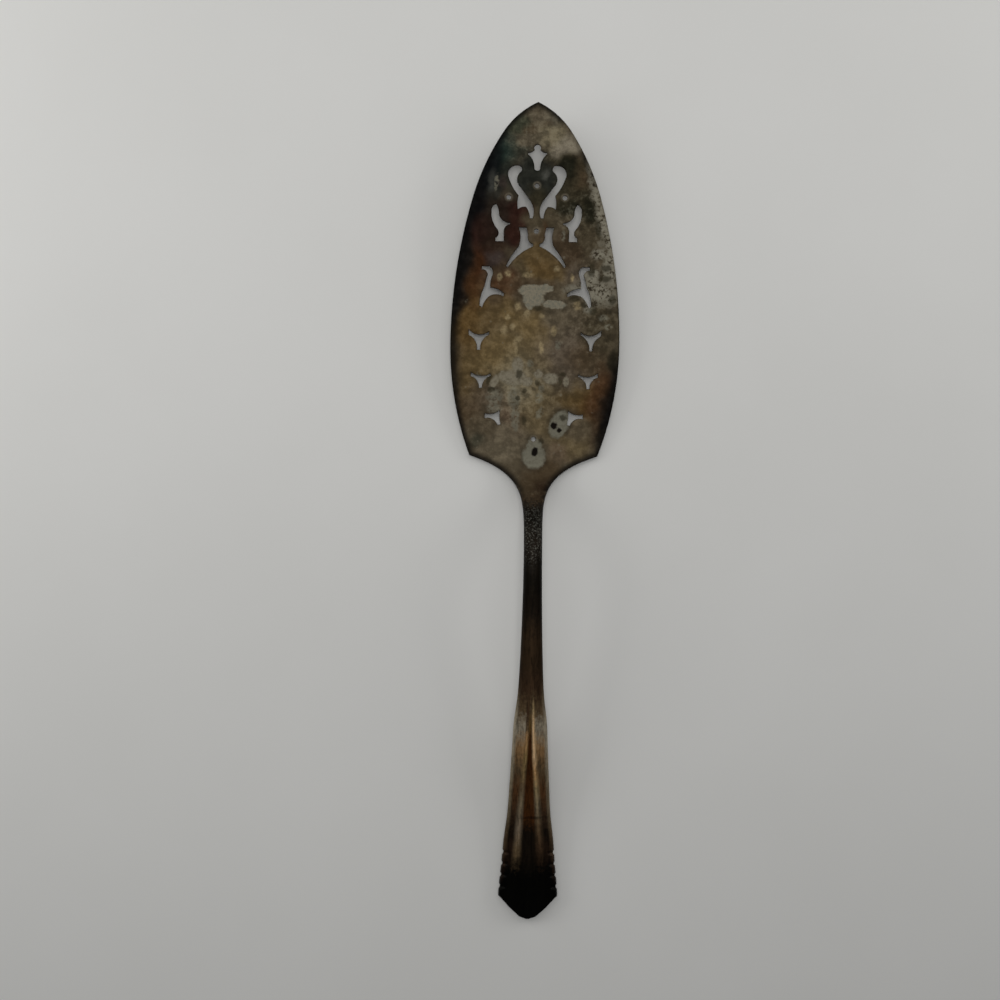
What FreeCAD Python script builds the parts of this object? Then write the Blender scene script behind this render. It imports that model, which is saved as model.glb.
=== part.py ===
# Pierced flat pie server, stamped from one piece of metal.
# Frame: +Y towards the blade's tip, +X to the right seen from above, +Z up. The server lies
# with its shoulder line and the underside of its handle's end on the plane z = 0.
import FreeCAD, Part
import math
import os
import Sketcher

NODE = "pie_server"

# Name, size in millimetres (or degrees, or a count) and what it measures.
SIZES = [
    ("blade_length", 109.0, "sheet of the blade, from the shoulder line to the tip"),
    ("blade_width", 52.8, "blade at its widest"),
    ("blade_thickness", 1.3, "sheet of the blade"),
    ("blade_tilt", 4.1, "rise of the blade towards the tip, degrees"),
    ("shoulder_width", 40.2, "blade at the shoulder line"),
    ("edge_round", 0.35, "rounding of the blade's rim"),
    ("neck_length", 33.3, "shoulder line to the top of the crank"),
    ("neck_rise", 11.5, "underside of the shank above the table"),
    ("shank_length", 42.0, "slim stretch between the crank and the handle"),
    ("shank_width", 5.7, "shank at its slimmest"),
    ("shank_thickness", 3.8, "shank, top to bottom"),
    ("handle_length", 70.2, "fluted stretch, to the point at its end"),
    ("handle_start_width", 8.5, "handle where the flutes begin"),
    ("handle_width", 18.5, "handle at its widest"),
    ("handle_thickness", 2.8, "handle, underside to rib tops"),
    ("rim_width", 1.0, "raised rim along each side of the handle"),
    ("rib_width", 1.1, "flat top of each rib"),
    ("flute_depth", 0.9, "middle flute below the ribs"),
    ("channel_depth", 0.75, "channel between a rib and the rim"),
    ("point_length", 7.3, "slanted sides of the handle's end"),
    ("point_width", 4.8, "rounded tip of the handle's end"),
    ("bead_count", 4, "cross grooves on each side of the handle's end"),
    ("bead_pitch", 3.6, "from one cross groove to the next"),
    ("bead_start", 10.3, "last cross groove from the handle's end"),
    ("bead_groove", 0.8, "radius of a cross groove"),
    ("bead_groove_depth", 0.5, "cross groove below the top of the rim"),
    ("bead_reach", 2.6, "cross groove inwards from the handle's widest edge"),
    ("bead_notch", 1.1, "radius of a notch in the edge"),
    ("bead_notch_depth", 0.35, "notch inwards from the edge"),
    ("fleur_rise", 88.15, "foot of the top opening above the shoulder line"),
    ("fleur_height", 8.0, "top opening"),
    ("fleur_width", 5.8, "top opening"),
    ("scroll_reach", 0.9, "inner end of the long scroll from the middle line"),
    ("scroll_rise", 73.65, "foot of the long scroll above the shoulder line"),
    ("scroll_width", 8.1, "long scroll"),
    ("scroll_height", 16.1, "long scroll"),
    ("wing_reach", 8.3, "inner thorn of the outer scroll from the middle line"),
    ("wing_rise", 66.5, "foot of the outer scroll above the shoulder line"),
    ("wing_width", 5.7, "outer scroll"),
    ("wing_height", 11.4, "outer scroll"),
    ("arch_reach", 1.0, "inner thorn of the arch from the middle line"),
    ("arch_rise", 58.5, "foot of the arch above the shoulder line"),
    ("arch_width", 8.3, "one half of the arch"),
    ("arch_height", 12.3, "one half of the arch"),
    ("branch_reach", 9.7, "inner tip of the branch from the middle line"),
    ("branch_rise", 46.1, "foot of the branch above the shoulder line"),
    ("branch_width", 7.7, "branch at the blade's side"),
    ("branch_height", 12.7, "branch at the blade's side"),
    ("upper_bud_reach", 14.3, "inner tip of the upper bud from the middle line"),
    ("upper_bud_rise", 32.9, "foot of the upper bud above the shoulder line"),
    ("upper_bud_width", 6.4, "upper bud"),
    ("upper_bud_height", 6.3, "upper bud"),
    ("lower_bud_reach", 13.7, "inner tip of the lower bud from the middle line"),
    ("lower_bud_rise", 21.1, "foot of the lower bud above the shoulder line"),
    ("lower_bud_width", 6.2, "lower bud"),
    ("lower_bud_height", 4.9, "lower bud"),
    ("spur_reach", 10.4, "inner side of the spur from the middle line"),
    ("spur_rise", 9.6, "foot of the spur above the shoulder line"),
    ("spur_width", 5.0, "spur near the shoulder"),
    ("spur_height", 4.6, "spur near the shoulder"),
    ("dot_radius", 0.75, "round openings"),
    ("high_dot_rise", 83.55, "dot between the long scrolls above the shoulder line"),
    ("side_dot_rise", 79.95, "dots outside the long scrolls above the shoulder line"),
    ("side_dot_reach", 8.7, "dots outside the long scrolls from the middle line"),
    ("middle_dot_rise", 69.65, "dot over the arch above the shoulder line"),
    ("low_dot_rise", 5.2, "dot near the shoulder above the shoulder line"),
]

# Openings, as fractions of their own width (from the middle line outwards) and height (from
# the foot up). Each row leads to its last corner, straight or through a middle point of an arc.
SCROLL = [
    ((0.05, 0.00),),
    ((0.01, 0.16), (0.18, 0.36)),
    ((0.55, 0.61),),
    ((0.66, 0.74), (0.55, 0.86)),
    ((0.49, 0.96), (0.66, 1.00)),
    ((0.96, 0.92), (0.97, 0.76)),
    ((0.82, 0.59), (0.59, 0.43)),
    ((0.63, 0.31), (0.61, 0.17)),
    ((0.46, 0.21), (0.30, 0.215)),
    ((0.21, 0.14), (0.15, 0.00)),
]
WING = [
    ((0.32, 0.00),),
    ((0.33, 0.27),),
    ((0.25, 0.385), (0.00, 0.455)),
    ((0.00, 0.50),),
    ((0.40, 0.57), (0.60, 0.72)),
    ((0.64, 0.885), (0.76, 1.00)),
    ((0.93, 0.94), (1.00, 0.80)),
    ((0.95, 0.57), (0.67, 0.325)),
    ((0.60, 0.24), (0.77, 0.10)),
    ((0.77, 0.00),),
]
ARCH = [
    ((0.25, 1.00),),
    ((0.55, 1.00),),
    ((0.47, 0.77), (0.54, 0.52)),
    ((0.76, 0.33), (1.00, 0.04)),
    ((0.94, 0.00),),
    ((0.61, 0.265), (0.22, 0.46)),
    ((0.00, 0.53),),
    ((0.00, 0.59),),
    ((0.16, 0.66), (0.19, 0.81)),
]
BRANCH = [
    ((0.92, 1.00),),
    ((0.62, 0.995),),
    ((0.49, 0.90), (0.52, 0.75)),
    ((0.57, 0.62), (0.57, 0.48)),
    ((0.30, 0.45), (0.00, 0.33)),
    ((0.045, 0.27),),
    ((0.34, 0.32), (0.64, 0.26)),
    ((0.79, 0.15), (0.90, 0.00)),
    ((1.00, 0.04),),
    ((0.94, 0.31), (0.81, 0.50)),
    ((0.755, 0.65), (0.68, 0.80)),
    ((0.74, 0.88), (0.92, 0.92)),
]
BUD = [
    ((1.00, 1.00),),
    ((0.54, 0.75), (0.00, 0.92)),
    ((0.00, 0.76),),
    ((0.30, 0.51), (0.43, 0.00)),
    ((0.59, 0.00),),
    ((0.72, 0.52), (1.00, 0.74)),
]
SPUR = [
    ((1.00, 0.76),),
    ((0.52, 0.74), (0.06, 1.00)),
    ((0.07, 0.52), (0.00, 0.02)),
    ((0.20, 0.00),),
    ((0.42, 0.33), (1.00, 0.44)),
]
# The top opening's right half, from its head down to its foot, as fractions of the half width.
FLEUR_HALF = [
    ((0.00, 1.00),),
    ((0.25, 0.965), (0.31, 0.80)),
    ((0.60, 0.715), (0.98, 0.69)),
    ((1.00, 0.62),),
    ((0.51, 0.41), (0.32, 0.10)),
    ((0.18, 0.015), (0.00, 0.00)),
]
# The blade's right side, from the tip down to the shoulder, as fractions of half the blade's
# width and of its length. The last arc ends at the shoulder's own width, and its middle lies
# at a share of the way from there out to the widest point.
BLADE_SIDE = [
    ((0.225, 0.965), (0.4015, 0.9165)),
    ((0.615, 0.823), (0.765, 0.722)),
    ((0.935, 0.530), (1.00, 0.315)),
]
SHOULDER_ARC_SHARE = 0.75
SHOULDER_ARC_HEIGHT = 0.155

# Right half of the section as fractions of its half width and thickness: from the underside's
# corner up the side and along the top to the middle.
FLAT_SECTION = [(1.0, 0.0), (1.0, 0.33), (1.0, 0.67), (1.0, 1.0), (0.75, 1.0), (0.5, 1.0), (0.25, 1.0), (0.0, 1.0)]
ROUND_SECTION = [
    (0.62, 0.0), (1.0, 0.30), (0.98, 0.64), (0.80, 0.86), (0.60, 0.95), (0.40, 0.985), (0.20, 0.997), (0.0, 1.0),
]

# Stations down the neck, shank and handle, each as a fraction of its own stretch.
NECK_STATIONS = [0.0, 0.04, 0.09, 0.15, 0.22, 0.31, 0.42, 0.56, 0.75, 1.0]
NECK_THICKENED = 0.6
NECK_TAPER = 5.6
SHANK_STATIONS = [(0.36, 0.17), (0.69, 0.46), (1.0, 1.0)]
# Handle: fraction of its length, width and rib distance as fractions, and how deep the relief is.
HANDLE_STATIONS = [
    (0.10, 0.17, 0.30, 0.45),
    (0.22, 0.26, 0.33, 1.0),
    (0.37, 0.37, 0.39, 1.0),
    (0.53, 0.51, 0.44, 1.0),
    (0.645, 0.71, 0.46, 1.0),
    (0.74, 0.82, 0.50, 1.0),
    (0.88, 1.00, 0.55, 1.0),
    (1.00, 1.06, 0.56, 1.0),
]
# The handle lies level on the table from this fraction of its length on, has its own
# thickness from the second, and its rim stands this share of the channel's depth below the ribs.
LEVEL_END = 0.92
HANDLE_THINNED = 0.6
RIM_DROP = 0.35


class Size:
    """A measure with its value and the formula that ties it to the sheet of sizes."""

    def __init__(self, value, formula=None):
        self.value = float(value)
        self.formula = formula if formula else repr(float(value))

    def __add__(self, other):
        other = as_size(other)
        return Size(self.value + other.value, "(%s + %s)" % (self.formula, other.formula))

    def __sub__(self, other):
        other = as_size(other)
        return Size(self.value - other.value, "(%s - %s)" % (self.formula, other.formula))

    def __mul__(self, factor):
        factor = as_size(factor)
        return Size(self.value * factor.value, "(%s * %s)" % (self.formula, factor.formula))

    def __neg__(self):
        return Size(-self.value, "(-1 * %s)" % self.formula)

    __radd__ = __add__
    __rmul__ = __mul__


def as_size(measure):
    return measure if isinstance(measure, Size) else Size(measure)


ZERO = Size(0.0)


def smooth(fraction):
    """Ease from 0 to 1, level at both ends."""
    fraction = min(max(fraction, 0.0), 1.0)
    return (1 - math.cos(math.pi * fraction)) / 2


def fill_sheet(document):
    sheet = document.addObject("Spreadsheet::Sheet", "Sizes")
    for row, (name, value, note) in enumerate(SIZES, start=1):
        sheet.set("A%d" % row, name)
        sheet.set("B%d" % row, str(value))
        sheet.setAlias("B%d" % row, name)
        sheet.set("C%d" % row, note)
    document.recompute()
    return sheet


def read_sizes(sheet):
    return {name: Size(sheet.get(name), "Sizes.%s" % name) for name, _, _ in SIZES}


def new_sketch(body, name, role, offset, angle=None):
    """Sketch on an origin plane of the body, moved by the offset and turned about its own x."""
    plane = [feature for feature in body.Origin.OriginFeatures if feature.Role == role][0]
    sketch = body.newObject("Sketcher::SketchObject", name)
    sketch.AttachmentSupport = [(plane, "")]
    sketch.MapMode = "FlatFace"
    turn = FreeCAD.Rotation(FreeCAD.Vector(1, 0, 0), angle.value if angle else 0)
    base = FreeCAD.Vector(*[measure.value for measure in offset])
    sketch.AttachmentOffset = FreeCAD.Placement(base, turn)
    for axis, measure in zip("xyz", offset):
        if measure is not ZERO:
            sketch.setExpression(".AttachmentOffset.Base.%s" % axis, measure.formula)
    if angle:
        sketch.setExpression(".AttachmentOffset.Rotation.Angle", angle.formula)
    return sketch


def to_vector(point):
    return FreeCAD.Vector(point[0].value, point[1].value, 0)


def hold_point(sketch, geometry, position, point):
    """Hold a point of the sketch at its two measures from the sketch's origin."""
    for kind, measure in zip(("DistanceX", "DistanceY"), point):
        constraint = Sketcher.Constraint(kind, -1, 1, geometry, position, measure.value)
        index = sketch.addConstraint(constraint)
        if measure is not ZERO:
            sketch.setExpression("Constraints[%d]" % index, measure.formula)


def arc_through(start, middle, end):
    """Arc through three points, drawn anticlockwise."""
    circle = Part.Arc(start, middle, end).toShape().Curve
    centre, radius = circle.Center, circle.Radius
    first = math.atan2(start.y - centre.y, start.x - centre.x)
    last = math.atan2(end.y - centre.y, end.x - centre.x)
    if (middle - start).cross(end - start).z < 0:
        first, last = last, first
    if last < first:
        last += 2 * math.pi
    full = Part.Circle(centre, FreeCAD.Vector(0, 0, 1), radius)
    return Part.ArcOfCircle(full, first, last)


def draw_outline(sketch, start, steps):
    """Closed outline of lines and arcs from start, each step (corner) or (middle, corner)."""
    ends = []
    before = start
    for step in steps:
        corner = step[-1]
        if len(step) == 2:
            arc = arc_through(to_vector(before), to_vector(step[0]), to_vector(corner))
            index = sketch.addGeometry(arc, False)
            forward = sketch.getPoint(index, 1).distanceToPoint(to_vector(before)) < 1e-5
            middle = sketch.addGeometry(Part.Point(to_vector(step[0])), True)
            sketch.addConstraint(Sketcher.Constraint("PointOnObject", middle, 1, index))
            hold_point(sketch, middle, 1, step[0])
        else:
            line = Part.LineSegment(to_vector(before), to_vector(corner))
            index = sketch.addGeometry(line, False)
            forward = True
        ends.append((index, 1 if forward else 2, 2 if forward else 1, before))
        before = corner
    for number, (index, first, _, corner) in enumerate(ends):
        previous, _, last, _ = ends[number - 1]
        sketch.addConstraint(Sketcher.Constraint("Coincident", previous, last, index, first))
        hold_point(sketch, index, first, corner)


def draw_circle(sketch, centre, radius):
    circle = Part.Circle(to_vector(centre), FreeCAD.Vector(0, 0, 1), radius.value)
    index = sketch.addGeometry(circle, False)
    hold_point(sketch, index, 3, centre)
    held = sketch.addConstraint(Sketcher.Constraint("Radius", index, radius.value))
    sketch.setExpression("Constraints[%d]" % held, radius.formula)


def mirrored(point):
    return (-point[0] if point[0] is not ZERO else ZERO, point[1])


def add_pocket(body, sketch, name, reach=None):
    """Pocket both ways through everything, or along the sketch's own normal by the reach."""
    body.Document.recompute()
    before = body.Tip.Shape.Volume
    pocket = body.newObject("PartDesign::Pocket", name)
    pocket.Profile = sketch
    if reach:
        pocket.Type = "Length"
        pocket.Length = reach.value
        pocket.setExpression("Length", reach.formula)
        pocket.Reversed = True
    else:
        pocket.Type = "ThroughAll"
        pocket.SideType = "Symmetric"
    body.Document.recompute()
    if not before - pocket.Shape.Volume > 0.01:
        raise RuntimeError("%s cuts nothing" % name)
    return pocket


class Stations:
    """Where each stretch of the server begins, along Y, from the sizes."""

    def __init__(self, size):
        tilt = size["blade_tilt"]
        lean = Size(math.cos(math.radians(tilt.value)), "cos(%s * 1 deg)" % tilt.formula)
        blade = size["blade_length"] * lean
        below = size["neck_length"] + size["shank_length"] + size["handle_length"]
        self.end = -((blade + below) * 0.5)
        self.handle = self.end + size["handle_length"]
        self.shank = self.handle + size["shank_length"]
        self.shoulder = self.shank + size["neck_length"]


def build_blade(body, size, at):
    """Tilted sheet with the blade's outline and a rounded rim."""
    half = size["blade_width"] * 0.5
    shoulder = size["shoulder_width"] * 0.5
    length = size["blade_length"]
    sketch = new_sketch(body, "BladeOutline", "XY_Plane", (ZERO, at.shoulder, ZERO), size["blade_tilt"])

    def place(point):
        return (half * point[0], length * point[1])

    tip = (ZERO, length)
    right = [(place(middle), place(corner)) for middle, corner in BLADE_SIDE]
    lower = shoulder + (half - shoulder) * SHOULDER_ARC_SHARE
    right.append(((lower, length * SHOULDER_ARC_HEIGHT), (shoulder, ZERO)))
    corners = [tip] + [corner for _, corner in right]
    steps = list(right)
    steps.append((mirrored(corners[-1]),))
    for number in reversed(range(len(right))):
        corner = mirrored(corners[number]) if number else tip
        steps.append((mirrored(right[number][0]), corner))
    draw_outline(sketch, tip, steps)

    pad = body.newObject("PartDesign::Pad", "Blade")
    pad.Profile = sketch
    pad.Length = size["blade_thickness"].value
    pad.setExpression("Length", size["blade_thickness"].formula)
    body.Document.recompute()

    rim = []
    for number, edge in enumerate(pad.Shape.Edges, start=1):
        level = all(abs(point.x) > 0.01 for point in edge.discretize(3)[1:2])
        curved = edge.Curve.TypeId == "Part::GeomCircle"
        if level and curved:
            rim.append("Edge%d" % number)
    fillet = body.newObject("PartDesign::Fillet", "BladeRim")
    fillet.Base = (pad, rim)
    fillet.Radius = size["edge_round"].value
    fillet.setExpression("Radius", "min(%s; %s * 0.4)" % (size["edge_round"].formula, size["blade_thickness"].formula))
    body.Document.recompute()
    return fillet


def blend_sections(first, second, share):
    return [
        (a[0] * (1 - share) + b[0] * share, a[1] * (1 - share) + b[1] * share)
        for a, b in zip(first, second)
    ]


def relief_section(size, half, thick, rib_place, depth):
    """Right half of a fluted section, in millimetres: rim, channel, rib and middle flute."""
    rim = size["rim_width"] * (0.5 + 0.5 * depth)
    rib = half * rib_place
    rib_half = size["rib_width"] * 0.5
    top = thick
    rim_top = top - size["channel_depth"] * (RIM_DROP * depth)
    channel = top - size["channel_depth"] * depth
    valley = top - size["flute_depth"] * depth
    inner = half - rim
    return [
        (half - rim * 0.8, ZERO),
        (half, thick * 0.28),
        (half, thick * 0.60),
        (inner + rim * 0.45, rim_top),
        ((inner + rib + rib_half) * 0.5, channel),
        (rib + rib_half, top),
        (rib - rib_half, top),
        (ZERO, valley),
    ]


def draw_section(body, name, station, angle, half_points, floor):
    """Closed section across the server, the half points mirrored to the left."""
    sketch = new_sketch(body, name, "XZ_Plane", (ZERO, floor, -station), angle)
    right = list(half_points)
    left = [mirrored(point) for point in reversed(right[:-1])]
    points = right + left
    steps = [(point,) for point in points[1:]] + [(points[0],)]
    draw_outline(sketch, points[0], steps)
    return sketch


def floor_at(size, distance):
    """Underside of the shank and handle above the table, by the distance from the crank's top."""
    fall = size["shank_length"].value + size["handle_length"].value * LEVEL_END
    return size["neck_rise"] * (1 - smooth(distance / fall)) if distance < fall else ZERO


def build_handle(body, size, at):
    """Neck, shank and fluted handle, drawn through sections from the shoulder line down."""
    shoulder_half = size["shoulder_width"] * 0.5
    shank_half = size["shank_width"] * 0.5
    start_half = size["handle_start_width"] * 0.5
    handle_half = size["handle_width"] * 0.5
    sheet_thick = size["blade_thickness"]
    shank_thick = size["shank_thickness"]
    rise = size["neck_rise"]
    sections = []

    def add(station, angle, points, floor):
        name = "Section%02d" % (len(sections) + 1)
        sections.append(draw_section(body, name, station, angle, points, floor))

    for fraction in NECK_STATIONS:
        taper = (1 - fraction) ** NECK_TAPER
        half = shank_half + (shoulder_half - shank_half) * taper
        grown = smooth(fraction / NECK_THICKENED)
        thick = sheet_thick + (shank_thick - sheet_thick) * grown
        shape = blend_sections(FLAT_SECTION, ROUND_SECTION, grown)
        points = [(half * x if x else ZERO, thick * z if z else ZERO) for x, z in shape]
        station = at.shoulder - size["neck_length"] * fraction
        floor = rise * smooth(fraction) if fraction else ZERO
        angle = None if fraction else size["blade_tilt"]
        add(station, angle, points, floor)

    for fraction, widened in SHANK_STATIONS:
        half = shank_half + (start_half - shank_half) * widened
        thick = shank_thick + (size["handle_thickness"] - shank_thick) * (0.5 * fraction)
        points = [(half * x if x else ZERO, thick * z if z else ZERO) for x, z in ROUND_SECTION]
        floor = floor_at(size, size["shank_length"].value * fraction)
        add(at.shank - size["shank_length"] * fraction, None, points, floor)

    for fraction, widened, rib_place, depth in HANDLE_STATIONS:
        half = start_half + (handle_half - start_half) * widened
        grown = 0.5 + 0.5 * smooth(fraction / HANDLE_THINNED)
        thick = shank_thick + (size["handle_thickness"] - shank_thick) * grown
        points = relief_section(size, half, thick, rib_place, depth)
        station = at.handle - size["handle_length"] * fraction
        floor = floor_at(size, size["shank_length"].value + size["handle_length"].value * fraction)
        add(station, None, points, floor)

    loft = body.newObject("PartDesign::AdditiveLoft", "NeckAndHandle")
    loft.Profile = sections[0]
    loft.Sections = sections[1:]
    loft.Ruled = False
    body.Document.recompute()
    return loft


def shape_handle_end(body, size, at):
    """Two slanted sides that meet in a rounded point."""
    outside = size["handle_width"]
    half = size["handle_width"] * 0.5
    flat = size["point_width"] * 0.5
    corner = at.end + size["point_length"]
    turn = at.end + size["point_width"] * 0.16
    below = at.end - size["point_length"]
    sketch = new_sketch(body, "HandlePoint", "XY_Plane", (ZERO, ZERO, ZERO))
    steps = [
        ((half, corner),),
        ((flat, turn),),
        ((ZERO, at.end), (-flat, turn)),
        ((-half, corner),),
        ((-outside, corner),),
        ((-outside, below),),
        ((outside, below),),
        ((outside, corner),),
    ]
    draw_outline(sketch, (outside, corner), steps)
    return add_pocket(body, sketch, "PointCut")


def bead_places(size, at):
    """Y of each cross groove, from the handle's end upwards."""
    first = at.end + size["bead_start"]
    return [first + size["bead_pitch"] * number for number in range(int(size["bead_count"].value))]


def handle_half_at(size, at, station):
    """Half width of the handle near its end, between the nearest stations."""
    start_half = size["handle_start_width"] * 0.5
    handle_half = size["handle_width"] * 0.5
    fraction = (at.handle.value - station.value) / size["handle_length"].value
    widened = HANDLE_STATIONS[0][1]
    for before, after in zip(HANDLE_STATIONS, HANDLE_STATIONS[1:]):
        if before[0] <= fraction <= after[0]:
            share = (fraction - before[0]) / (after[0] - before[0])
            widened = before[1] + (after[1] - before[1]) * share
    return start_half + (handle_half - start_half) * widened


def cut_beads(body, size, at):
    """Cross grooves over each side of the handle's end, and a notch in the edge at each."""
    notches = new_sketch(body, "EdgeNotches", "XY_Plane", (ZERO, ZERO, ZERO))
    places = bead_places(size, at)
    for place in places:
        edge = handle_half_at(size, at, place)
        draw_circle(notches, (edge + size["bead_notch"] - size["bead_notch_depth"], place), size["bead_notch"])
    notch_cut = add_pocket(body, notches, "NotchCut")

    inner = size["handle_width"] * 0.5 - size["bead_reach"]
    grooves = new_sketch(body, "CrossGrooves", "YZ_Plane", (ZERO, ZERO, inner))
    rim_top = size["handle_thickness"] - size["channel_depth"] * RIM_DROP
    for place in places:
        floor = floor_at(size, at.shank.value - place.value)
        centre = floor + rim_top + size["bead_groove"] - size["bead_groove_depth"]
        draw_circle(grooves, (place, centre), size["bead_groove"])
    groove_cut = add_pocket(body, grooves, "GrooveCut", size["handle_width"])
    return [notch_cut, groove_cut]


def opening_steps(size, name, rows):
    """Corners of an opening from its fractions, its reach and rise and its own two sizes."""
    reach = size[name + "_reach"]
    rise = size[name + "_rise"]
    wide = size[name + "_width"]
    high = size[name + "_height"]

    def place(point):
        return (reach + wide * point[0], rise + high * point[1])

    corners = [tuple(place(point) for point in row) for row in rows]
    start = corners[0][-1]
    return start, corners[1:] + [(start,)]


def pierce_blade(body, size, at):
    """Scrolls, buds and dots through the sheet; what stands off the middle line is mirrored."""
    offset = (ZERO, at.shoulder, ZERO)
    tilt = size["blade_tilt"]
    cuts = []
    shapes = [
        ("scroll", SCROLL), ("wing", WING), ("arch", ARCH), ("branch", BRANCH),
        ("upper_bud", BUD), ("lower_bud", BUD), ("spur", SPUR),
    ]
    for name, rows in shapes:
        sketch = new_sketch(body, name + "_outline", "XY_Plane", offset, tilt)
        start, steps = opening_steps(size, name, rows)
        draw_outline(sketch, start, steps)
        cuts.append(add_pocket(body, sketch, name + "_cut"))
    sketch = new_sketch(body, "side_dot_outline", "XY_Plane", offset, tilt)
    draw_circle(sketch, (size["side_dot_reach"], size["side_dot_rise"]), size["dot_radius"])
    cuts.append(add_pocket(body, sketch, "side_dot_cut"))

    half = size["fleur_width"] * 0.5

    def place(point):
        across = half * point[0] if point[0] else ZERO
        return (across, size["fleur_rise"] + size["fleur_height"] * point[1])

    sketch = new_sketch(body, "fleur_outline", "XY_Plane", offset, tilt)
    right = [tuple(place(point) for point in row) for row in FLEUR_HALF]
    steps = right[1:]
    for number in reversed(range(1, len(right))):
        corner = mirrored(right[number - 1][-1])
        middle = [mirrored(point) for point in right[number][:-1]]
        steps.append(tuple(middle + [corner]))
    draw_outline(sketch, right[0][-1], steps)
    add_pocket(body, sketch, "fleur_cut")

    for name in ("high_dot", "middle_dot", "low_dot"):
        sketch = new_sketch(body, name + "_outline", "XY_Plane", offset, tilt)
        draw_circle(sketch, (ZERO, size[name + "_rise"]), size["dot_radius"])
        add_pocket(body, sketch, name + "_cut")
    return cuts


def mirror_cuts(body, cuts):
    plane = [feature for feature in body.Origin.OriginFeatures if feature.Role == "YZ_Plane"][0]
    before = body.Tip.Shape.Volume
    mirror = body.newObject("PartDesign::Mirrored", "LeftSide")
    mirror.Originals = cuts
    mirror.MirrorPlane = (plane, [""])
    body.Tip = mirror
    body.Document.recompute()
    if not before - mirror.Shape.Volume > 0.01:
        raise RuntimeError("the left side's cuts are missing")
    return mirror


def check_document(document, bodies):
    for item in document.Objects:
        if "Invalid" in item.State or "Error" in item.State:
            raise RuntimeError("%s failed: %s" % (item.Name, item.State))
    for body in bodies:
        if body.Shape.isNull() or not body.Shape.isValid():
            raise RuntimeError("%s has no valid shape" % body.Label)


def main():
    document = FreeCAD.newDocument("PieServer")
    sheet = fill_sheet(document)
    size = read_sizes(sheet)
    at = Stations(size)
    body = document.addObject("PartDesign::Body", "Server")
    body.Label = NODE
    document.recompute()
    build_blade(body, size, at)
    build_handle(body, size, at)
    shape_handle_end(body, size, at)
    cuts = cut_beads(body, size, at)
    cuts += pierce_blade(body, size, at)
    mirror_cuts(body, cuts)
    document.recompute()
    check_document(document, [body])
    os.makedirs("parts", exist_ok=True)
    body.Shape.exportStep("parts/%s.step" % body.Label)
    box = body.Shape.BoundBox
    print("solids %d, volume %.1f mm3" % (len(body.Shape.Solids), body.Shape.Volume))
    print("x %.2f..%.2f y %.2f..%.2f z %.2f..%.2f" % (box.XMin, box.XMax, box.YMin, box.YMax, box.ZMin, box.ZMax))


main()
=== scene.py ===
"""Pierced pie server of tarnished plated metal on a pale table, seen from straight above.

Lengths are in millimetres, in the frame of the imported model, until a mesh is made.
"""

import math

import bmesh
import bpy
import numpy as np
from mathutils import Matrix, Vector, geometry, noise


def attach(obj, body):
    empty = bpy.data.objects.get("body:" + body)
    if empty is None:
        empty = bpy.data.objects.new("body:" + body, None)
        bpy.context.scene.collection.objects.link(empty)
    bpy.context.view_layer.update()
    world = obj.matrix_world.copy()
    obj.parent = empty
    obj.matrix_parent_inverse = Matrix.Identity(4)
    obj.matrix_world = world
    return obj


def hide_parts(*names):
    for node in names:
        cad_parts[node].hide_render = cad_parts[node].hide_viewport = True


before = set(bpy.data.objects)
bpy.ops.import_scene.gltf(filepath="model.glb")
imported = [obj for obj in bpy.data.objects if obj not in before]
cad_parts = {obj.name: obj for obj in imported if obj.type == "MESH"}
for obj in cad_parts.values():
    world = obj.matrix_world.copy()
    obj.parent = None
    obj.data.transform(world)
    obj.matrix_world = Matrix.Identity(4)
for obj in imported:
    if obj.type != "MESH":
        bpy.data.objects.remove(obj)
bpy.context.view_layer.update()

MM = 0.001

# Sizes of the server, as in the solids
BLADE_LENGTH = 109.0
BLADE_HALF = 26.4
BLADE_THICKNESS = 1.3
BLADE_TILT = math.radians(4.1)
SHOULDER_HALF = 20.1
RIM_ROUND = 0.35
# Small trims that keep the curves' overshoot inside the part's own size
TIP_TRIM = 0.02
CREST_Y = -18.4
CREST_SINK = 0.085
CREST_REACH = 7.0
# Share of the neck over which the sheet's lean ends
LEAN_END = 0.15
NECK_LENGTH = 33.3
NECK_RISE = 11.5
SHANK_LENGTH = 42.0
SHANK_HALF = 2.85
SHANK_THICKNESS = 3.8
HANDLE_LENGTH = 70.2
HANDLE_START_HALF = 4.25
HANDLE_HALF = 9.25
HANDLE_THICKNESS = 2.8
RIM_WIDTH = 1.0
RIB_WIDTH = 1.1
FLUTE_DEPTH = 0.9
CHANNEL_DEPTH = 0.75
RIM_DROP = 0.35
POINT_LENGTH = 7.3
POINT_HALF = 2.4
POINT_ROUND = 0.32
BEADS = 4
BEAD_PITCH = 3.6
BEAD_START = 10.3
BEAD_GROOVE = 0.8
BEAD_GROOVE_DEPTH = 0.5
BEAD_NOTCH = 1.1
BEAD_NOTCH_DEPTH = 0.35
LEVEL_END = 0.92
PIERCE_ROUND = 0.12

TOTAL = BLADE_LENGTH * math.cos(BLADE_TILT) + NECK_LENGTH + SHANK_LENGTH + HANDLE_LENGTH
END_Y = -TOTAL / 2
HANDLE_Y = END_Y + HANDLE_LENGTH
SHANK_Y = HANDLE_Y + SHANK_LENGTH
SHOULDER_Y = SHANK_Y + NECK_LENGTH

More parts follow.
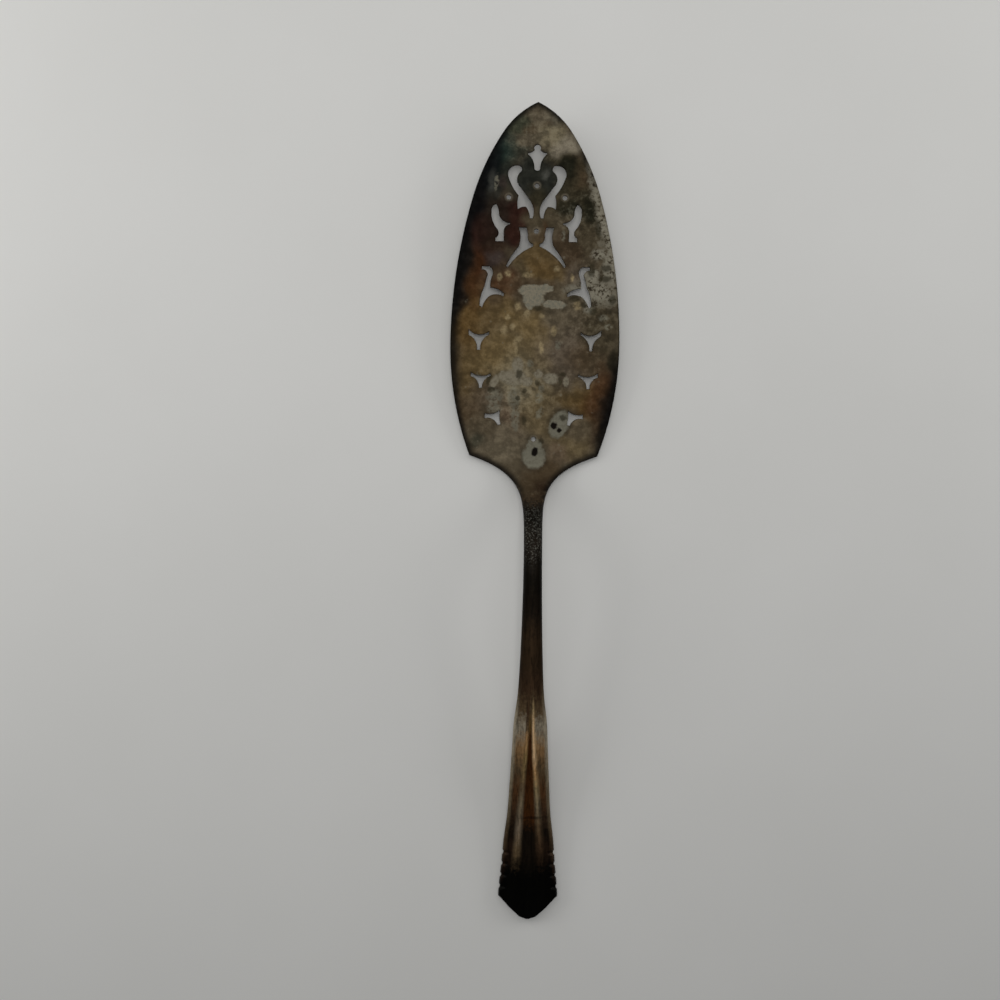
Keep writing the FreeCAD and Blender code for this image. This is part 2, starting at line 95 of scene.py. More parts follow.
# Outlines of the openings in fractions of their width and height: each row is the next corner,
# with the middle of an arc before it where the way there isn't straight.
SCROLL = [
    (0.05, 0), (0.01, 0.16, 0.18, 0.36), (0.55, 0.61), (0.66, 0.74, 0.55, 0.86),
    (0.49, 0.96, 0.66, 1), (0.96, 0.92, 0.97, 0.76), (0.82, 0.59, 0.59, 0.43),
    (0.63, 0.31, 0.61, 0.17), (0.46, 0.21, 0.3, 0.215), (0.21, 0.14, 0.15, 0),
]
WING = [
    (0.32, 0), (0.33, 0.27), (0.25, 0.385, 0, 0.455), (0, 0.5), (0.4, 0.57, 0.6, 0.72),
    (0.64, 0.885, 0.76, 1), (0.93, 0.94, 1, 0.8), (0.95, 0.57, 0.67, 0.325),
    (0.6, 0.24, 0.77, 0.1), (0.77, 0),
]
ARCH = [
    (0.25, 1), (0.55, 1), (0.47, 0.77, 0.54, 0.52), (0.76, 0.33, 1, 0.04), (0.94, 0),
    (0.61, 0.265, 0.22, 0.46), (0, 0.53), (0, 0.59), (0.16, 0.66, 0.19, 0.81),
]
BRANCH = [
    (0.92, 1), (0.62, 0.995), (0.49, 0.9, 0.52, 0.75), (0.57, 0.62, 0.57, 0.48),
    (0.3, 0.45, 0, 0.33), (0.045, 0.27), (0.34, 0.32, 0.64, 0.26), (0.79, 0.15, 0.9, 0), (1, 0.04),
    (0.94, 0.31, 0.81, 0.5), (0.755, 0.65, 0.68, 0.8), (0.74, 0.88, 0.92, 0.92),
]
BUD = [
    (1, 1), (0.54, 0.75, 0, 0.92), (0, 0.76), (0.3, 0.51, 0.43, 0), (0.59, 0),
    (0.72, 0.52, 1, 0.74),
]
SPUR = [
    (1, 0.76), (0.52, 0.74, 0.06, 1), (0.07, 0.52, 0, 0.02), (0.2, 0), (0.42, 0.33, 1, 0.44),
]
FLEUR_HALF = [
    (0, 1), (0.25, 0.965, 0.31, 0.8), (0.6, 0.715, 0.98, 0.69), (1, 0.62), (0.51, 0.41, 0.32, 0.1),
    (0.18, 0.015, 0, 0),
]
# Outline, distance from the middle line, rise above the shoulder line, width and height
PAIRED = [
    (SCROLL, 0.9, 73.65, 8.1, 16.1),
    (WING, 8.3, 66.5, 5.7, 11.4),
    (ARCH, 1.0, 58.5, 8.3, 12.3),
    (BRANCH, 9.7, 46.1, 7.7, 12.7),
    (BUD, 14.3, 32.9, 6.4, 6.3),
    (BUD, 13.7, 21.1, 6.2, 4.9),
    (SPUR, 10.4, 9.6, 5.0, 4.6),
]
# Rise, height and half width
FLEUR = (88.15, 8.0, 2.9)
DOT_RADIUS = 0.75
DOT_CORNERS = 20
DOTS = [(0.0, 83.55), (8.7, 79.95), (-8.7, 79.95), (0.0, 69.65), (0.0, 5.2)]

# Right side of the blade from the tip: arcs in fractions of its half width and length
BLADE_SIDE = [
    (0.225, 0.965, 0.4015, 0.9165), (0.615, 0.823, 0.765, 0.722), (0.935, 0.53, 1, 0.315),
]
SHOULDER_ARC_SHARE = 0.75
SHOULDER_ARC_HEIGHT = 0.155

# Right half of a section in fractions of half width and thickness, underside corner to middle
FLAT_SECTION = [(1, 0), (1, 0.33), (1, 0.67), (1, 1), (0.75, 1), (0.5, 1), (0.25, 1), (0, 1)]
ROUND_SECTION = [
    (0.62, 0), (1, 0.30), (0.98, 0.64), (0.80, 0.86), (0.60, 0.95), (0.40, 0.985), (0.20, 0.997),
    (0, 1),
]
NECK_THICKENED = 0.6
NECK_TAPER = 5.6
# Share of the length, and how far the half width has gone from the shank's to the handle's
SHANK_STATIONS = [(0.36, 0.17), (0.69, 0.46), (1.0, 1.0)]
HANDLE_THINNED = 0.6
# Share of the length, of the full half width, place of the rib, and depth of the flutes
HANDLE_STATIONS = [
    (0.10, 0.17, 0.30, 0.45), (0.22, 0.26, 0.33, 1), (0.37, 0.37, 0.39, 1), (0.53, 0.51, 0.44, 1),
    (0.645, 0.71, 0.46, 1), (0.74, 0.82, 0.50, 1), (0.88, 1, 0.55, 1), (1, 1.06, 0.56, 1),
]
# How far each corner of a section is rounded along its sides
FLAT_CUTS = [RIM_ROUND, 0.3, 0.3, RIM_ROUND, 1.0, 1.0, 1.0, 1.0]
ROUND_CUTS = [3.0] * 8
FLUTED_CUTS = [0.3, 0.3, 0.3, 0.35, 0.9, 0.35, 0.3, 0.35]
CURVE_POINTS = 5
# Steps of the outlines and the flat faces' grid
SIDE_STEP = 0.7
HOLE_STEP = 0.3
GRID_PITCH = 0.9


def ease(share):
    share = min(max(share, 0.0), 1.0)
    return (1 - math.cos(math.pi * share)) / 2


def lerp(a, b, share):
    return a + (b - a) * share


def between(start, end, share):
    return lerp(start[0], end[0], share), lerp(start[1], end[1], share)


def arc(start, middle, end, step):
    """Points of the arc through three points, after the start and up to the end."""
    ax, ay = start
    bx, by = middle
    cx, cy = end
    d = 2 * (ax * (by - cy) + bx * (cy - ay) + cx * (ay - by))
    if abs(d) < 1e-9:
        return line(start, end, step)
    a, b, c = ax * ax + ay * ay, bx * bx + by * by, cx * cx + cy * cy
    ux = (a * (by - cy) + b * (cy - ay) + c * (ay - by)) / d
    uy = (a * (cx - bx) + b * (ax - cx) + c * (bx - ax)) / d
    radius = math.hypot(ax - ux, ay - uy)
    first = math.atan2(ay - uy, ax - ux)
    turn = (math.atan2(cy - uy, cx - ux) - first) % (2 * math.pi)
    if (math.atan2(by - uy, bx - ux) - first) % (2 * math.pi) > turn:
        turn -= 2 * math.pi
    count = max(4, math.ceil(abs(turn) * radius / step))
    angles = [first + turn * k / count for k in range(1, count + 1)]
    return [(ux + radius * math.cos(a), uy + radius * math.sin(a)) for a in angles]


def line(start, end, step):
    count = max(1, math.ceil(math.dist(start, end) / step))
    return [between(start, end, k / count) for k in range(1, count + 1)]


def trace(rows, x, y, wide, high):
    """Closed loop of points from an outline's rows, placed at x, y with its width and height."""
    rows = [[(x + wide * u, y + high * v) for u, v in zip(row[::2], row[1::2])] for row in rows]
    points = [rows[0][-1]]
    for row in rows[1:] + rows[:1]:
        way = arc if len(row) > 1 else line
        points += way(points[-1], *row, HOLE_STEP)
    return points[:-1]


def mirror(loop):
    return [(-x, y) for x, y in reversed(loop)]


def opening_loops():
    loops = []
    for rows, reach, rise, wide, high in PAIRED:
        loop = trace(rows, reach, rise, wide, high)
        loops += [loop, mirror(loop)]
    rise, high, half = FLEUR
    right = trace(FLEUR_HALF, 0, rise, half, high)
    lowest = min(right, key=lambda p: (abs(p[0]) > 1e-6, p[1]))
    right = right[:right.index(lowest) + 1]
    loops.append(right + mirror(right[1:-1]))
    angles = [2 * math.pi * k / DOT_CORNERS for k in range(DOT_CORNERS)]
    ring = [(DOT_RADIUS * math.cos(a), DOT_RADIUS * math.sin(a)) for a in angles]
    return loops + [[(x + u, y + v) for u, v in ring] for x, y in DOTS]


def blade_side():
    """Right side of the blade, from the tip down to the shoulder corner."""
    points = [(0.0, BLADE_LENGTH - TIP_TRIM)]
    for u, v, x, y in BLADE_SIDE:
        middle = (u * BLADE_HALF, v * BLADE_LENGTH)
        points += arc(points[-1], middle, (x * BLADE_HALF, y * BLADE_LENGTH), SIDE_STEP)
    lower = lerp(SHOULDER_HALF, BLADE_HALF, SHOULDER_ARC_SHARE)
    middle = (lower, SHOULDER_ARC_HEIGHT * BLADE_LENGTH)
    return points + arc(points[-1], middle, (SHOULDER_HALF, 0.0), SIDE_STEP)


def seam_scale():
    """How much longer the rim's inset is along x at the shoulder line, where the outline leans."""
    (x0, y0), (x1, y1) = SIDE[-2:]
    return 1 / abs(Vector((x1 - x0, y1 - y0)).normalized()[1])


SIDE = blade_side()
SEAM_SCALE = seam_scale()


def normals(points, closed):
    """Normals to the right of the way round, longer at corners so that offsets keep width."""
    pts = np.array(points)
    if closed:
        before = pts - np.roll(pts, 1, axis=0)
        after = np.roll(pts, -1, axis=0) - pts
    else:
        step = np.diff(pts, axis=0)
        before = np.vstack([step[:1], step])
        after = np.vstack([step, step[-1:]])
    before /= np.linalg.norm(before, axis=1)[:, None]
    after /= np.linalg.norm(after, axis=1)[:, None]
    a = np.stack([before[:, 1], -before[:, 0]], axis=1)
    b = np.stack([after[:, 1], -after[:, 0]], axis=1)
    n = a + b
    size = np.linalg.norm(n, axis=1)
    n /= np.maximum(size, 1e-6)[:, None]
    stretch = 1 / np.maximum((n * a).sum(axis=1), 0.45)
    return n * stretch[:, None]


def area(loop):
    pts = np.array(loop)
    x, y = pts[:, 0], pts[:, 1]
    return 0.5 * float(np.sum(x * np.roll(y, -1) - np.roll(x, -1) * y))


def inside(points, loop):
    pts = np.array(points)
    poly = np.array(loop)
    x, y = pts[:, 0][:, None], pts[:, 1][:, None]
    x0, y0 = poly[:, 0][None, :], poly[:, 1][None, :]
    x1, y1 = np.roll(poly[:, 0], -1)[None, :], np.roll(poly[:, 1], -1)[None, :]
    crosses = (y0 > y) != (y1 > y)
    with np.errstate(divide="ignore", invalid="ignore"):
        at = x0 + (y - y0) * (x1 - x0) / (y1 - y0)
    return (np.sum(crosses & (x < at), axis=1) % 2) == 1


def distance(points, loop, closed=True):
    """Distance of each point from a polyline."""
    pts = np.array(points)
    a = np.array(loop)
    b = np.roll(a, -1, axis=0)
    if not closed:
        a, b = a[:-1], b[:-1]
    best = np.full(len(pts), 1e9)
    for start, end in zip(a, b):
        run = end - start
        length = max(float(run @ run), 1e-12)
        share = np.clip(((pts - start) @ run) / length, 0, 1)
        gap = np.linalg.norm(pts - (start + share[:, None] * run), axis=1)
        best = np.minimum(best, gap)
    return best


class Shell:
    """Vertices with their form values (opening's lip, place across the handle) and faces."""

    def __init__(self):
        self.points = []
        self.form = []
        self.faces = []

    def add(self, x, y, z, lip=0.0, across=0.0):
        self.points.append((x * MM, y * MM, z * MM))
        self.form.append((lip, across))
        return len(self.points) - 1

    def add_on_sheet(self, x, s, z, lip=0.0):
        """Vertex at a place across, along and out of the tilted sheet."""
        cos, sin = math.cos(BLADE_TILT), math.sin(BLADE_TILT)
        return self.add(x, SHOULDER_Y + s * cos - z * sin, s * sin + z * cos, lip)

    def face(self, *corners):
        """Face of these vertices, where at least three of them differ."""
        corners = tuple(dict.fromkeys(corners))
        if len(corners) > 2:
            self.faces.append(corners)

    def strip(self, first, second):
        """Faces between two rows of vertices."""
        for corners in zip(first, second, second[1:], first[1:]):
            self.face(*corners)


# Sections down the neck, shank and handle

def floor_at(y):
    fall = SHANK_LENGTH + HANDLE_LENGTH * LEVEL_END
    return NECK_RISE * (1 - ease((SHANK_Y - y) / fall))


def relief_section(half, thick, rib_place, depth):
    rim = RIM_WIDTH * (0.5 + 0.5 * depth)
    rib = half * rib_place
    inner = half - rim
    return [
        (half - rim * 0.8, 0.0),
        (half, thick * 0.28),
        (half, thick * 0.60),
        (inner + rim * 0.45, thick - CHANNEL_DEPTH * RIM_DROP * depth),
        ((inner + rib + RIB_WIDTH / 2) / 2, thick - CHANNEL_DEPTH * depth),
        (rib + RIB_WIDTH / 2, thick),
        (rib - RIB_WIDTH / 2, thick),
        (0.0, thick - FLUTE_DEPTH * depth),
    ]


def lower_stations():
    """Stations below the crank: y and the eight corners of the half section."""
    rows = []
    for y in (SHANK_Y + NECK_LENGTH * 0.25, SHANK_Y):
        rows.append((y, neck_section(y)))
    for share, widened in SHANK_STATIONS:
        y = SHANK_Y - SHANK_LENGTH * share
        half = lerp(SHANK_HALF, HANDLE_START_HALF, widened)
        thick = lerp(SHANK_THICKNESS, HANDLE_THICKNESS, 0.5 * share)
        rows.append((y, [(half * x, floor_at(y) + thick * z) for x, z in ROUND_SECTION]))
    for share, widened, rib_place, depth in HANDLE_STATIONS:
        y = HANDLE_Y - HANDLE_LENGTH * share
        half = lerp(HANDLE_START_HALF, HANDLE_HALF, widened)
        thick = lerp(SHANK_THICKNESS, HANDLE_THICKNESS, 0.5 + 0.5 * ease(share / HANDLE_THINNED))
        section = relief_section(half, thick, rib_place, depth)
        rows.append((y, [(x, floor_at(y) + z) for x, z in section]))
    return rows


def neck_section(y):
    t = (SHOULDER_Y - y) / NECK_LENGTH
    half = lerp(SHANK_HALF, SHOULDER_HALF, (1 - t) ** NECK_TAPER)
    grown = ease(t / NECK_THICKENED)
    thick = lerp(BLADE_THICKNESS, SHANK_THICKNESS, grown)
    floor = NECK_RISE * ease(t)
    return [
        (half * lerp(a[0], b[0], grown), floor + thick * lerp(a[1], b[1], grown))
        for a, b in zip(FLAT_SECTION, ROUND_SECTION)
    ]


LOWER = lower_stations()
LOWER_Y = np.array([-y for y, _ in LOWER])
LOWER_VALUES = np.array([np.ravel(section) for _, section in LOWER])
LOWER_SLOPES = np.gradient(LOWER_VALUES, LOWER_Y, axis=0)


def corners_at(y):
    """The eight corners of the right half of the section at y."""
    if y > SHANK_Y:
        return neck_section(y)
    at = min(-y, LOWER_Y[-1])
    k = min(max(int(np.searchsorted(LOWER_Y, at)) - 1, 0), len(LOWER_Y) - 2)
    run = LOWER_Y[k + 1] - LOWER_Y[k]
    t = (at - LOWER_Y[k]) / run
    h = (2 * t**3 - 3 * t**2 + 1, t**3 - 2 * t**2 + t, -2 * t**3 + 3 * t**2, t**3 - t**2)
    row = (
        h[0] * LOWER_VALUES[k] + h[1] * run * LOWER_SLOPES[k]
        + h[2] * LOWER_VALUES[k + 1] + h[3] * run * LOWER_SLOPES[k + 1]
    )
    return [(float(row[2 * i]), float(row[2 * i + 1])) for i in range(8)]


def cuts_at(y):
    if y > SHANK_Y:
        share = ease((SHOULDER_Y - y) / (NECK_LENGTH * 0.5))
        return [lerp(a, b, share) for a, b in zip(FLAT_CUTS, ROUND_CUTS)]
    share = ease((HANDLE_Y + 4 - y) / 16)
    return [lerp(a, b, share) for a, b in zip(ROUND_CUTS, FLUTED_CUTS)]


def rounded(corners, cuts):
    """Each corner of the half section as a short curve, from the middle out to the underside."""
    points = list(reversed(corners))
    sizes = list(reversed(cuts))
    before = [(-points[1][0], points[1][1])] + points[:-1]
    after = points[1:] + [(-points[-1][0], points[-1][1])]
    curves = []
    for p, a, b, cut in zip(points, before, after, sizes):
        da, db = math.dist(p, a), math.dist(p, b)
        reach = min(cut, 0.46 * da, 0.46 * db)
        start = (lerp(p[0], a[0], reach / da), lerp(p[1], a[1], reach / da))
        end = (lerp(p[0], b[0], reach / db), lerp(p[1], b[1], reach / db))
        curve = []
        for k in range(CURVE_POINTS):
            t = k / (CURVE_POINTS - 1)
            u = 1 - t
            curve.append((
                u * u * start[0] + 2 * u * t * p[0] + t * t * end[0],
                u * u * start[1] + 2 * u * t * p[1] + t * t * end[1],
            ))
        curves.append(curve)
    return curves


def bead_cut(y, radius, depth):
    """Depth at y of round cuts across the handle, one for each bead."""
    off = min(abs(y - (END_Y + BEAD_START + BEAD_PITCH * k)) for k in range(BEADS))
    return max(0.0, math.sqrt(max(0.0, radius**2 - off**2)) - (radius - depth))


def half_ring(y):
    """Right half of the ring at y: top points from the middle out, side rows, underside corner."""
    curves = rounded(corners_at(y), cuts_at(y))
    middle, rib_in, rib_out, channel, rim, side_high, side_low, under = curves
    top = middle[2:]
    top += [tuple(np.mean([top[-1], rib_in[0]], axis=0))] + rib_in + rib_out
    top += [tuple(np.mean([rib_out[-1], channel[0]], axis=0))] + channel
    top += [tuple(np.mean([channel[-1], rim[0]], axis=0)), rim[0]]
    side = rim[1:] + side_high + side_low + under[:-1]
    return top, side, under[-1]


# How far in from the edge the cross grooves and the notches reach, and over what they fade
GROOVE_REACH, GROOVE_FADE = 2.4, 0.9
NOTCH_REACH, NOTCH_FADE = 1.2, 1.0


def shaped_ring(y):
    """The half ring with the cross grooves and edge notches worked in."""
    top, side, under = half_ring(y)
    groove = bead_cut(y, BEAD_GROOVE, BEAD_GROOVE_DEPTH)
    notch = bead_cut(y, BEAD_NOTCH, BEAD_NOTCH_DEPTH)
    if groove or notch:
        edge = max(x for x, _ in side)
        rim_z = top[-1][1]

        def worked(x, z):
            near = ease((x - (edge - GROOVE_REACH)) / GROOVE_FADE)
            lowered = max(0.0, groove - max(0.0, rim_z - z)) * near
            return x - notch * ease((x - (edge - NOTCH_REACH)) / NOTCH_FADE), z - lowered

        top = [worked(x, z) for x, z in top]
        side = [worked(x, z) for x, z in side]
    return top, side, under


FIRST_TOP, FIRST_SIDE, _ = half_ring(SHOULDER_Y)
TOP_SHARES = [x / FIRST_TOP[-1][0] for x, _ in FIRST_TOP]
# The side's profile as inset from the edge and height in the sheet
PROFILE = [(SHOULDER_HALF - x, z) for x, z in FIRST_SIDE]


def across_at(y, x):
    """Place across the handle: 0 in the middle, 0.5 on a rib and 1 on the edge."""
    corners = corners_at(y)
    half = max(c[0] for c in corners)
    rib = (corners[5][0] + corners[6][0]) / 2
    x = abs(x)
    return 0.5 * x / rib if x < rib else min(1.0, 0.5 + 0.5 * (x - rib) / (half - rib))


def add_ring(shell, y):
    """Closed ring of vertices across the server: its top, right, under and left vertices."""
    top, side, under = shaped_ring(y)
    t = (SHOULDER_Y - y) / NECK_LENGTH
    lean = (1 - ease(t / LEAN_END)) * math.sin(BLADE_TILT)
    base = floor_at(y) if y <= SHANK_Y else NECK_RISE * ease(t)
    sink = CREST_SINK * math.exp(-(((y - CREST_Y) / CREST_REACH) ** 2))
    seam = y == SHOULDER_Y
    scale = SEAM_SCALE if seam else 1.0
    edge_x = max(x for x, _ in side)

    def scaled(x):
        return edge_x - (edge_x - x) * scale

    def put(x, z):
        z -= sink
        if seam:
            return shell.add_on_sheet(x, 0.0, z)
        return shell.add(x, y - (z - base) * lean, z, across=across_at(y, x))

    def put_row(points):
        """Vertices from left to right, from the points of the right half."""
        right = [put(x, z) for x, z in points]
        return [put(-x, z) for x, z in points[1:]][::-1] + right

    top[-1] = (scaled(top[-1][0]), top[-1][1])
    shares = [x / top[-1][0] for x, _ in top] if seam else TOP_SHARES
    tops = put_row(top)
    right = [put(scaled(x), z) for x, z in side]
    left = [put(-scaled(x), z) for x, z in side]
    unders = put_row([(scaled(under[0]) * share, under[1]) for share in shares])
    return tops, right, unders, left


def join_rings(shell, first, second):
    loops = []
    for tops, right, unders, left in (first, second):
        loop = tops + right + unders[::-1] + left[::-1]
        loops.append(loop + loop[:1])
    shell.strip(*loops)


def end_outline(x):
    """Y of the handle's end and the outward normal there, for a distance from the middle line."""
    corner = END_Y + POINT_LENGTH
    turn = END_Y + POINT_HALF * POINT_ROUND
    x = abs(x)
    if x > POINT_HALF:
        share = (x - POINT_HALF) / (HANDLE_HALF - POINT_HALF)
        n = Vector((corner - turn, -(HANDLE_HALF - POINT_HALF))).normalized()
        return lerp(turn, corner, share), n
    drop = turn - END_Y
    radius = (POINT_HALF**2 + drop**2) / (2 * drop)
    y = END_Y + radius - math.sqrt(radius**2 - x * x)
    return y, Vector((x, y - (END_Y + radius))).normalized()


END_STEPS = 14
END_WALL_INSET = 0.3
END_CORNER_REACH = 1.6


def build_handle_end(shell, ring, start_y):
    """Rings that turn from straight across into the pointed outline, and the wall along it."""
    top, side, under = shaped_ring(start_y)
    xs = [-x for x, _ in top[:0:-1]] + [x for x, _ in top]
    under_xs = [-under[0] * s for s in TOP_SHARES[:0:-1]] + [under[0] * s for s in TOP_SHARES]
    edge_x = max(x for x, _ in side)
    profile = [(edge_x - x, z) for x, z in side]
    corner_y = END_Y + POINT_LENGTH
    corner_n = (end_outline(HANDLE_HALF)[1] + Vector((1, 0))).normalized()
    corner_n /= corner_n.dot(Vector((1, 0)))

    def plan(share, inset):
        """Point of the end outline at a share of the half width, moved inwards."""
        x = HANDLE_HALF * share
        y, n = end_outline(x)
        if abs(share) > 0.999:
            n = corner_n
        return x - n[0] * inset * (-1 if share < 0 else 1), y - n[1] * inset

    def top_z(x, y):
        top_here, _, _ = half_ring(max(y, END_Y))
        return float(np.interp(abs(x), [p[0] for p in top_here], [p[1] for p in top_here]))

    def end_points(edge_inset):
        insets = [lerp(edge_inset, END_WALL_INSET, away) for away in aways]
        return [plan(share, inset) for share, inset in zip(shares, insets)]

    shares = [x / max(xs) for x in xs]
    aways = [ease((1 - abs(share)) * HANDLE_HALF / END_CORNER_REACH) for share in shares]
    ends, unders_end = end_points(edge_x - top[-1][0]), end_points(edge_x - under[0])
    for step in range(1, END_STEPS + 1):
        w = step / END_STEPS
        tops, right, unders, left = current = [], [], [], []
        for x, end, under_x, under_end in zip(xs, ends, under_xs, unders_end):
            px, py = between((x, start_y), end, w)
            tops.append(shell.add(px, py, top_z(px, py), across=across_at(py, px)))
            unders.append(shell.add(*between((under_x, start_y), under_end, w), 0.0))
        for inset, z in profile:
            end = (HANDLE_HALF - corner_n[0] * inset, corner_y - corner_n[1] * inset)
            px, py = between((edge_x - inset, start_y), end, w)
            right.append(shell.add(px, py, z))
            left.append(shell.add(-px, py, z))
        join_rings(shell, ring, current)
        ring = current

    columns = [left]
    for share, away, top_id in list(zip(shares, aways, tops))[1:-1]:
        top_height = shell.points[top_id][2] / MM
        column = []
        for row, (inset, z) in enumerate(profile, 1):
            own_z = top_height * (1 - row / (len(profile) + 1))
            level = min(1, min(own_z, top_height - own_z) / END_WALL_INSET)
            own_inset = END_WALL_INSET * (1 - math.sqrt(max(0.0, 1 - (1 - level) ** 2)))
            x, y = plan(share, lerp(inset, own_inset, away))
            column.append(shell.add(x, y, lerp(z, own_z, away)))
        columns.append(column)
    columns.append(right)
    rows = [[a] + column + [b] for a, column, b in zip(tops, columns, unders)]
    for a, b in zip(rows, rows[1:]):
        for corners in zip(a, a[1:], b[1:], b):
            shell.face(*corners)


# Steps between the rings, each down to its y
RING_STEPS = [
    (SHOULDER_Y - 6, 0.2), (SHANK_Y, 0.45), (HANDLE_Y, 0.9), (END_Y + 24, 0.8), (END_Y, 0.22),
]
END_RINGS_AT = END_Y + POINT_LENGTH + 0.7


def stations():
    """Y of each ring from the shoulder line to the start of the pointed end."""
    ys = [SHOULDER_Y]
    while ys[-1] > END_RINGS_AT + 0.05:
        step = next(step for low, step in RING_STEPS if ys[-1] > low)
        ys.append(max(ys[-1] - step, END_RINGS_AT))
    return ys


# Places down the wall of an opening: share of the lip's quarter round, and on which side
LIP_PLACES = [
    (0, "top"), (0.35, "top"), (0.7, "top"), (1, "top"), (1, "under"), (0.5, "under"), (0, "under"),
]
STAGGER = 0.866
RIM_CLEAR, HOLE_CLEAR = 0.5, 0.35
LIP_SHADE_REACH = 0.9


def build_blade(shell, seam):
    """Sheet with its openings: flat faces, a rounded rim and rounded walls in the openings."""
    rim = mirror(SIDE) + SIDE[1:]
    outward = normals(rim, closed=False)
    outward *= -1 if (outward[len(rim) // 4][0] > 0) else 1
    outward[0] = (-SEAM_SCALE, 0.0)
    outward[-1] = (SEAM_SCALE, 0.0)
    tops, right, unders, left = seam
    # Boundary loops of the flat faces, as plan points with their top and underside vertices
    plan = [(x - n[0] * RIM_ROUND, s - n[1] * RIM_ROUND) for (x, s), n in zip(rim, outward)]
    strips = [[tops[0]] + left + [unders[0]]]
    for (x, s), n, inner in list(zip(rim, outward, plan))[1:-1]:
        ends = [shell.add_on_sheet(*inner, z) for z in (BLADE_THICKNESS, 0.0)]
        wall = [shell.add_on_sheet(x - n[0] * inset, s - n[1] * inset, z) for inset, z in PROFILE]
        strips.append([ends[0]] + wall + [ends[1]])
    strips.append([tops[-1]] + right + [unders[-1]])
    for first, second in zip(strips, strips[1:]):
        shell.strip(first, second)

    seam_x = [shell.points[v][0] / MM for v in tops]
    loop = plan + [(x, 0.0) for x in seam_x[-2:0:-1]]
    loop_top = [strip[0] for strip in strips] + tops[-2:0:-1]
    loop_under = [strip[-1] for strip in strips] + unders[-2:0:-1]
    loops = [(loop, loop_top, loop_under)]
    for hole in opening_loops():
        if area(hole) < 0:
            hole = hole[::-1]
        columns, wide = [], []
        for (x, s), n in zip(hole, normals(hole, closed=True)):
            wide.append((x + n[0] * PIERCE_ROUND, s + n[1] * PIERCE_ROUND))
            column = []
            for part, face in LIP_PLACES:
                angle = part * math.pi / 2
                inset = PIERCE_ROUND * (1 - math.sin(angle))
                down = PIERCE_ROUND * (1 - math.cos(angle))
                z = BLADE_THICKNESS - down if face == "top" else down
                place = (x + n[0] * inset, s + n[1] * inset, z)
                column.append(shell.add_on_sheet(*place, lip=0.5 + part / 2))
            columns.append(column)
        for first, second in zip(columns, columns[1:] + columns[:1]):
            shell.strip(first, second)
        loops.append((wide, [c[0] for c in columns], [c[-1] for c in columns]))

    # Staggered points between the loops
    grid = []
    half = int(BLADE_HALF / GRID_PITCH) + 1
    for j in range(1, int(BLADE_LENGTH / (GRID_PITCH * STAGGER)) + 1):
        shift = GRID_PITCH / 2 if j % 2 else 0.0
        y = j * GRID_PITCH * STAGGER
        grid += [(i * GRID_PITCH + shift, y) for i in range(-half, half + 1)]
    grid = np.array(grid)
    grid = grid[inside(grid, loop)]
    grid = grid[distance(grid, loop) > RIM_CLEAR]
    hole_gap = np.full(len(grid), np.inf)
    keep = np.ones(len(grid), bool)
    for wide, _, _ in loops[1:]:
        hole_gap = np.minimum(hole_gap, distance(grid, wide))
        keep &= ~inside(grid, wide)
    keep &= hole_gap > HOLE_CLEAR

    coords, top_of, under_of, edges = [], [], [], []
    for plan_loop, loop_tops, loop_unders in loops:
        first, count = len(coords), len(plan_loop)
        coords += [Vector(p) for p in plan_loop]
        top_of += loop_tops
        under_of += loop_unders
        edges += [(first + k, first + (k + 1) % count) for k in range(count)]
    for (x, s), gap in zip(grid[keep], hole_gap[keep]):
        coords.append(Vector((x, s)))
        lip = 0.5 * max(0.0, 1 - gap / LIP_SHADE_REACH)
        top_of.append(shell.add_on_sheet(x, s, BLADE_THICKNESS, lip))
        under_of.append(shell.add_on_sheet(x, s, 0.0, lip))
    verts, _, faces, originals, _, _ = geometry.delaunay_2d_cdt(coords, edges, [], 0, 1e-7)
    names = [ids[0] if ids else None for ids in originals]
    middles = np.array([np.mean([verts[i] for i in face], axis=0) for face in faces])
    keep = inside(middles, loop)
    for wide, _, _ in loops[1:]:
        keep &= ~inside(middles, wide)
    for face, kept in zip(faces, keep):
        ids = [names[i] for i in face]
        if kept and None not in ids:
            shell.faces.append(tuple(top_of[i] for i in ids))
            shell.faces.append(tuple(under_of[i] for i in reversed(ids)))


EDGE_REACH = 3.2
EDGE_REACH_MORE = 2.6


def between_ys(y, low, high, fade):
    """1 from low to high, rising and falling over the fade inside them."""
    return np.clip((y - low) / fade, 0, 1) * np.clip((high - y) / fade, 0, 1)


def edge_shares(points, ys):
    """1 on the outline of the blade and the neck, falling to 0 some millimetres inside it."""
    tilt = math.cos(BLADE_TILT)
    side = [(x, SHOULDER_Y + s * tilt) for x, s in SIDE]
    side += [(max(c[0] for c in corners_at(y)), y) for y in ys[1:] if y > SHANK_Y]
    near = points[:, 1] > SHANK_Y
    x, y = points[near, 0], points[near, 1]
    gap = distance(np.stack([np.abs(x), y], axis=1), side, closed=False)
    lower_right = np.clip((x - 4) / 4, 0, 1) * between_ys(y, 22, 46, 6)
    more = np.maximum(between_ys(y, 34, 106, 8), 0.6 * lower_right)
    shares = np.zeros(len(points))
    shares[near] = np.clip(1 - gap / (EDGE_REACH + EDGE_REACH_MORE * more), 0, 1)
    return shares


def add_values(mesh, name, values):
    """Four values at each vertex, for the material."""
    layer = mesh.attributes.new(name, "FLOAT_COLOR", "POINT")
    layer.data.foreach_set("color", values.ravel())


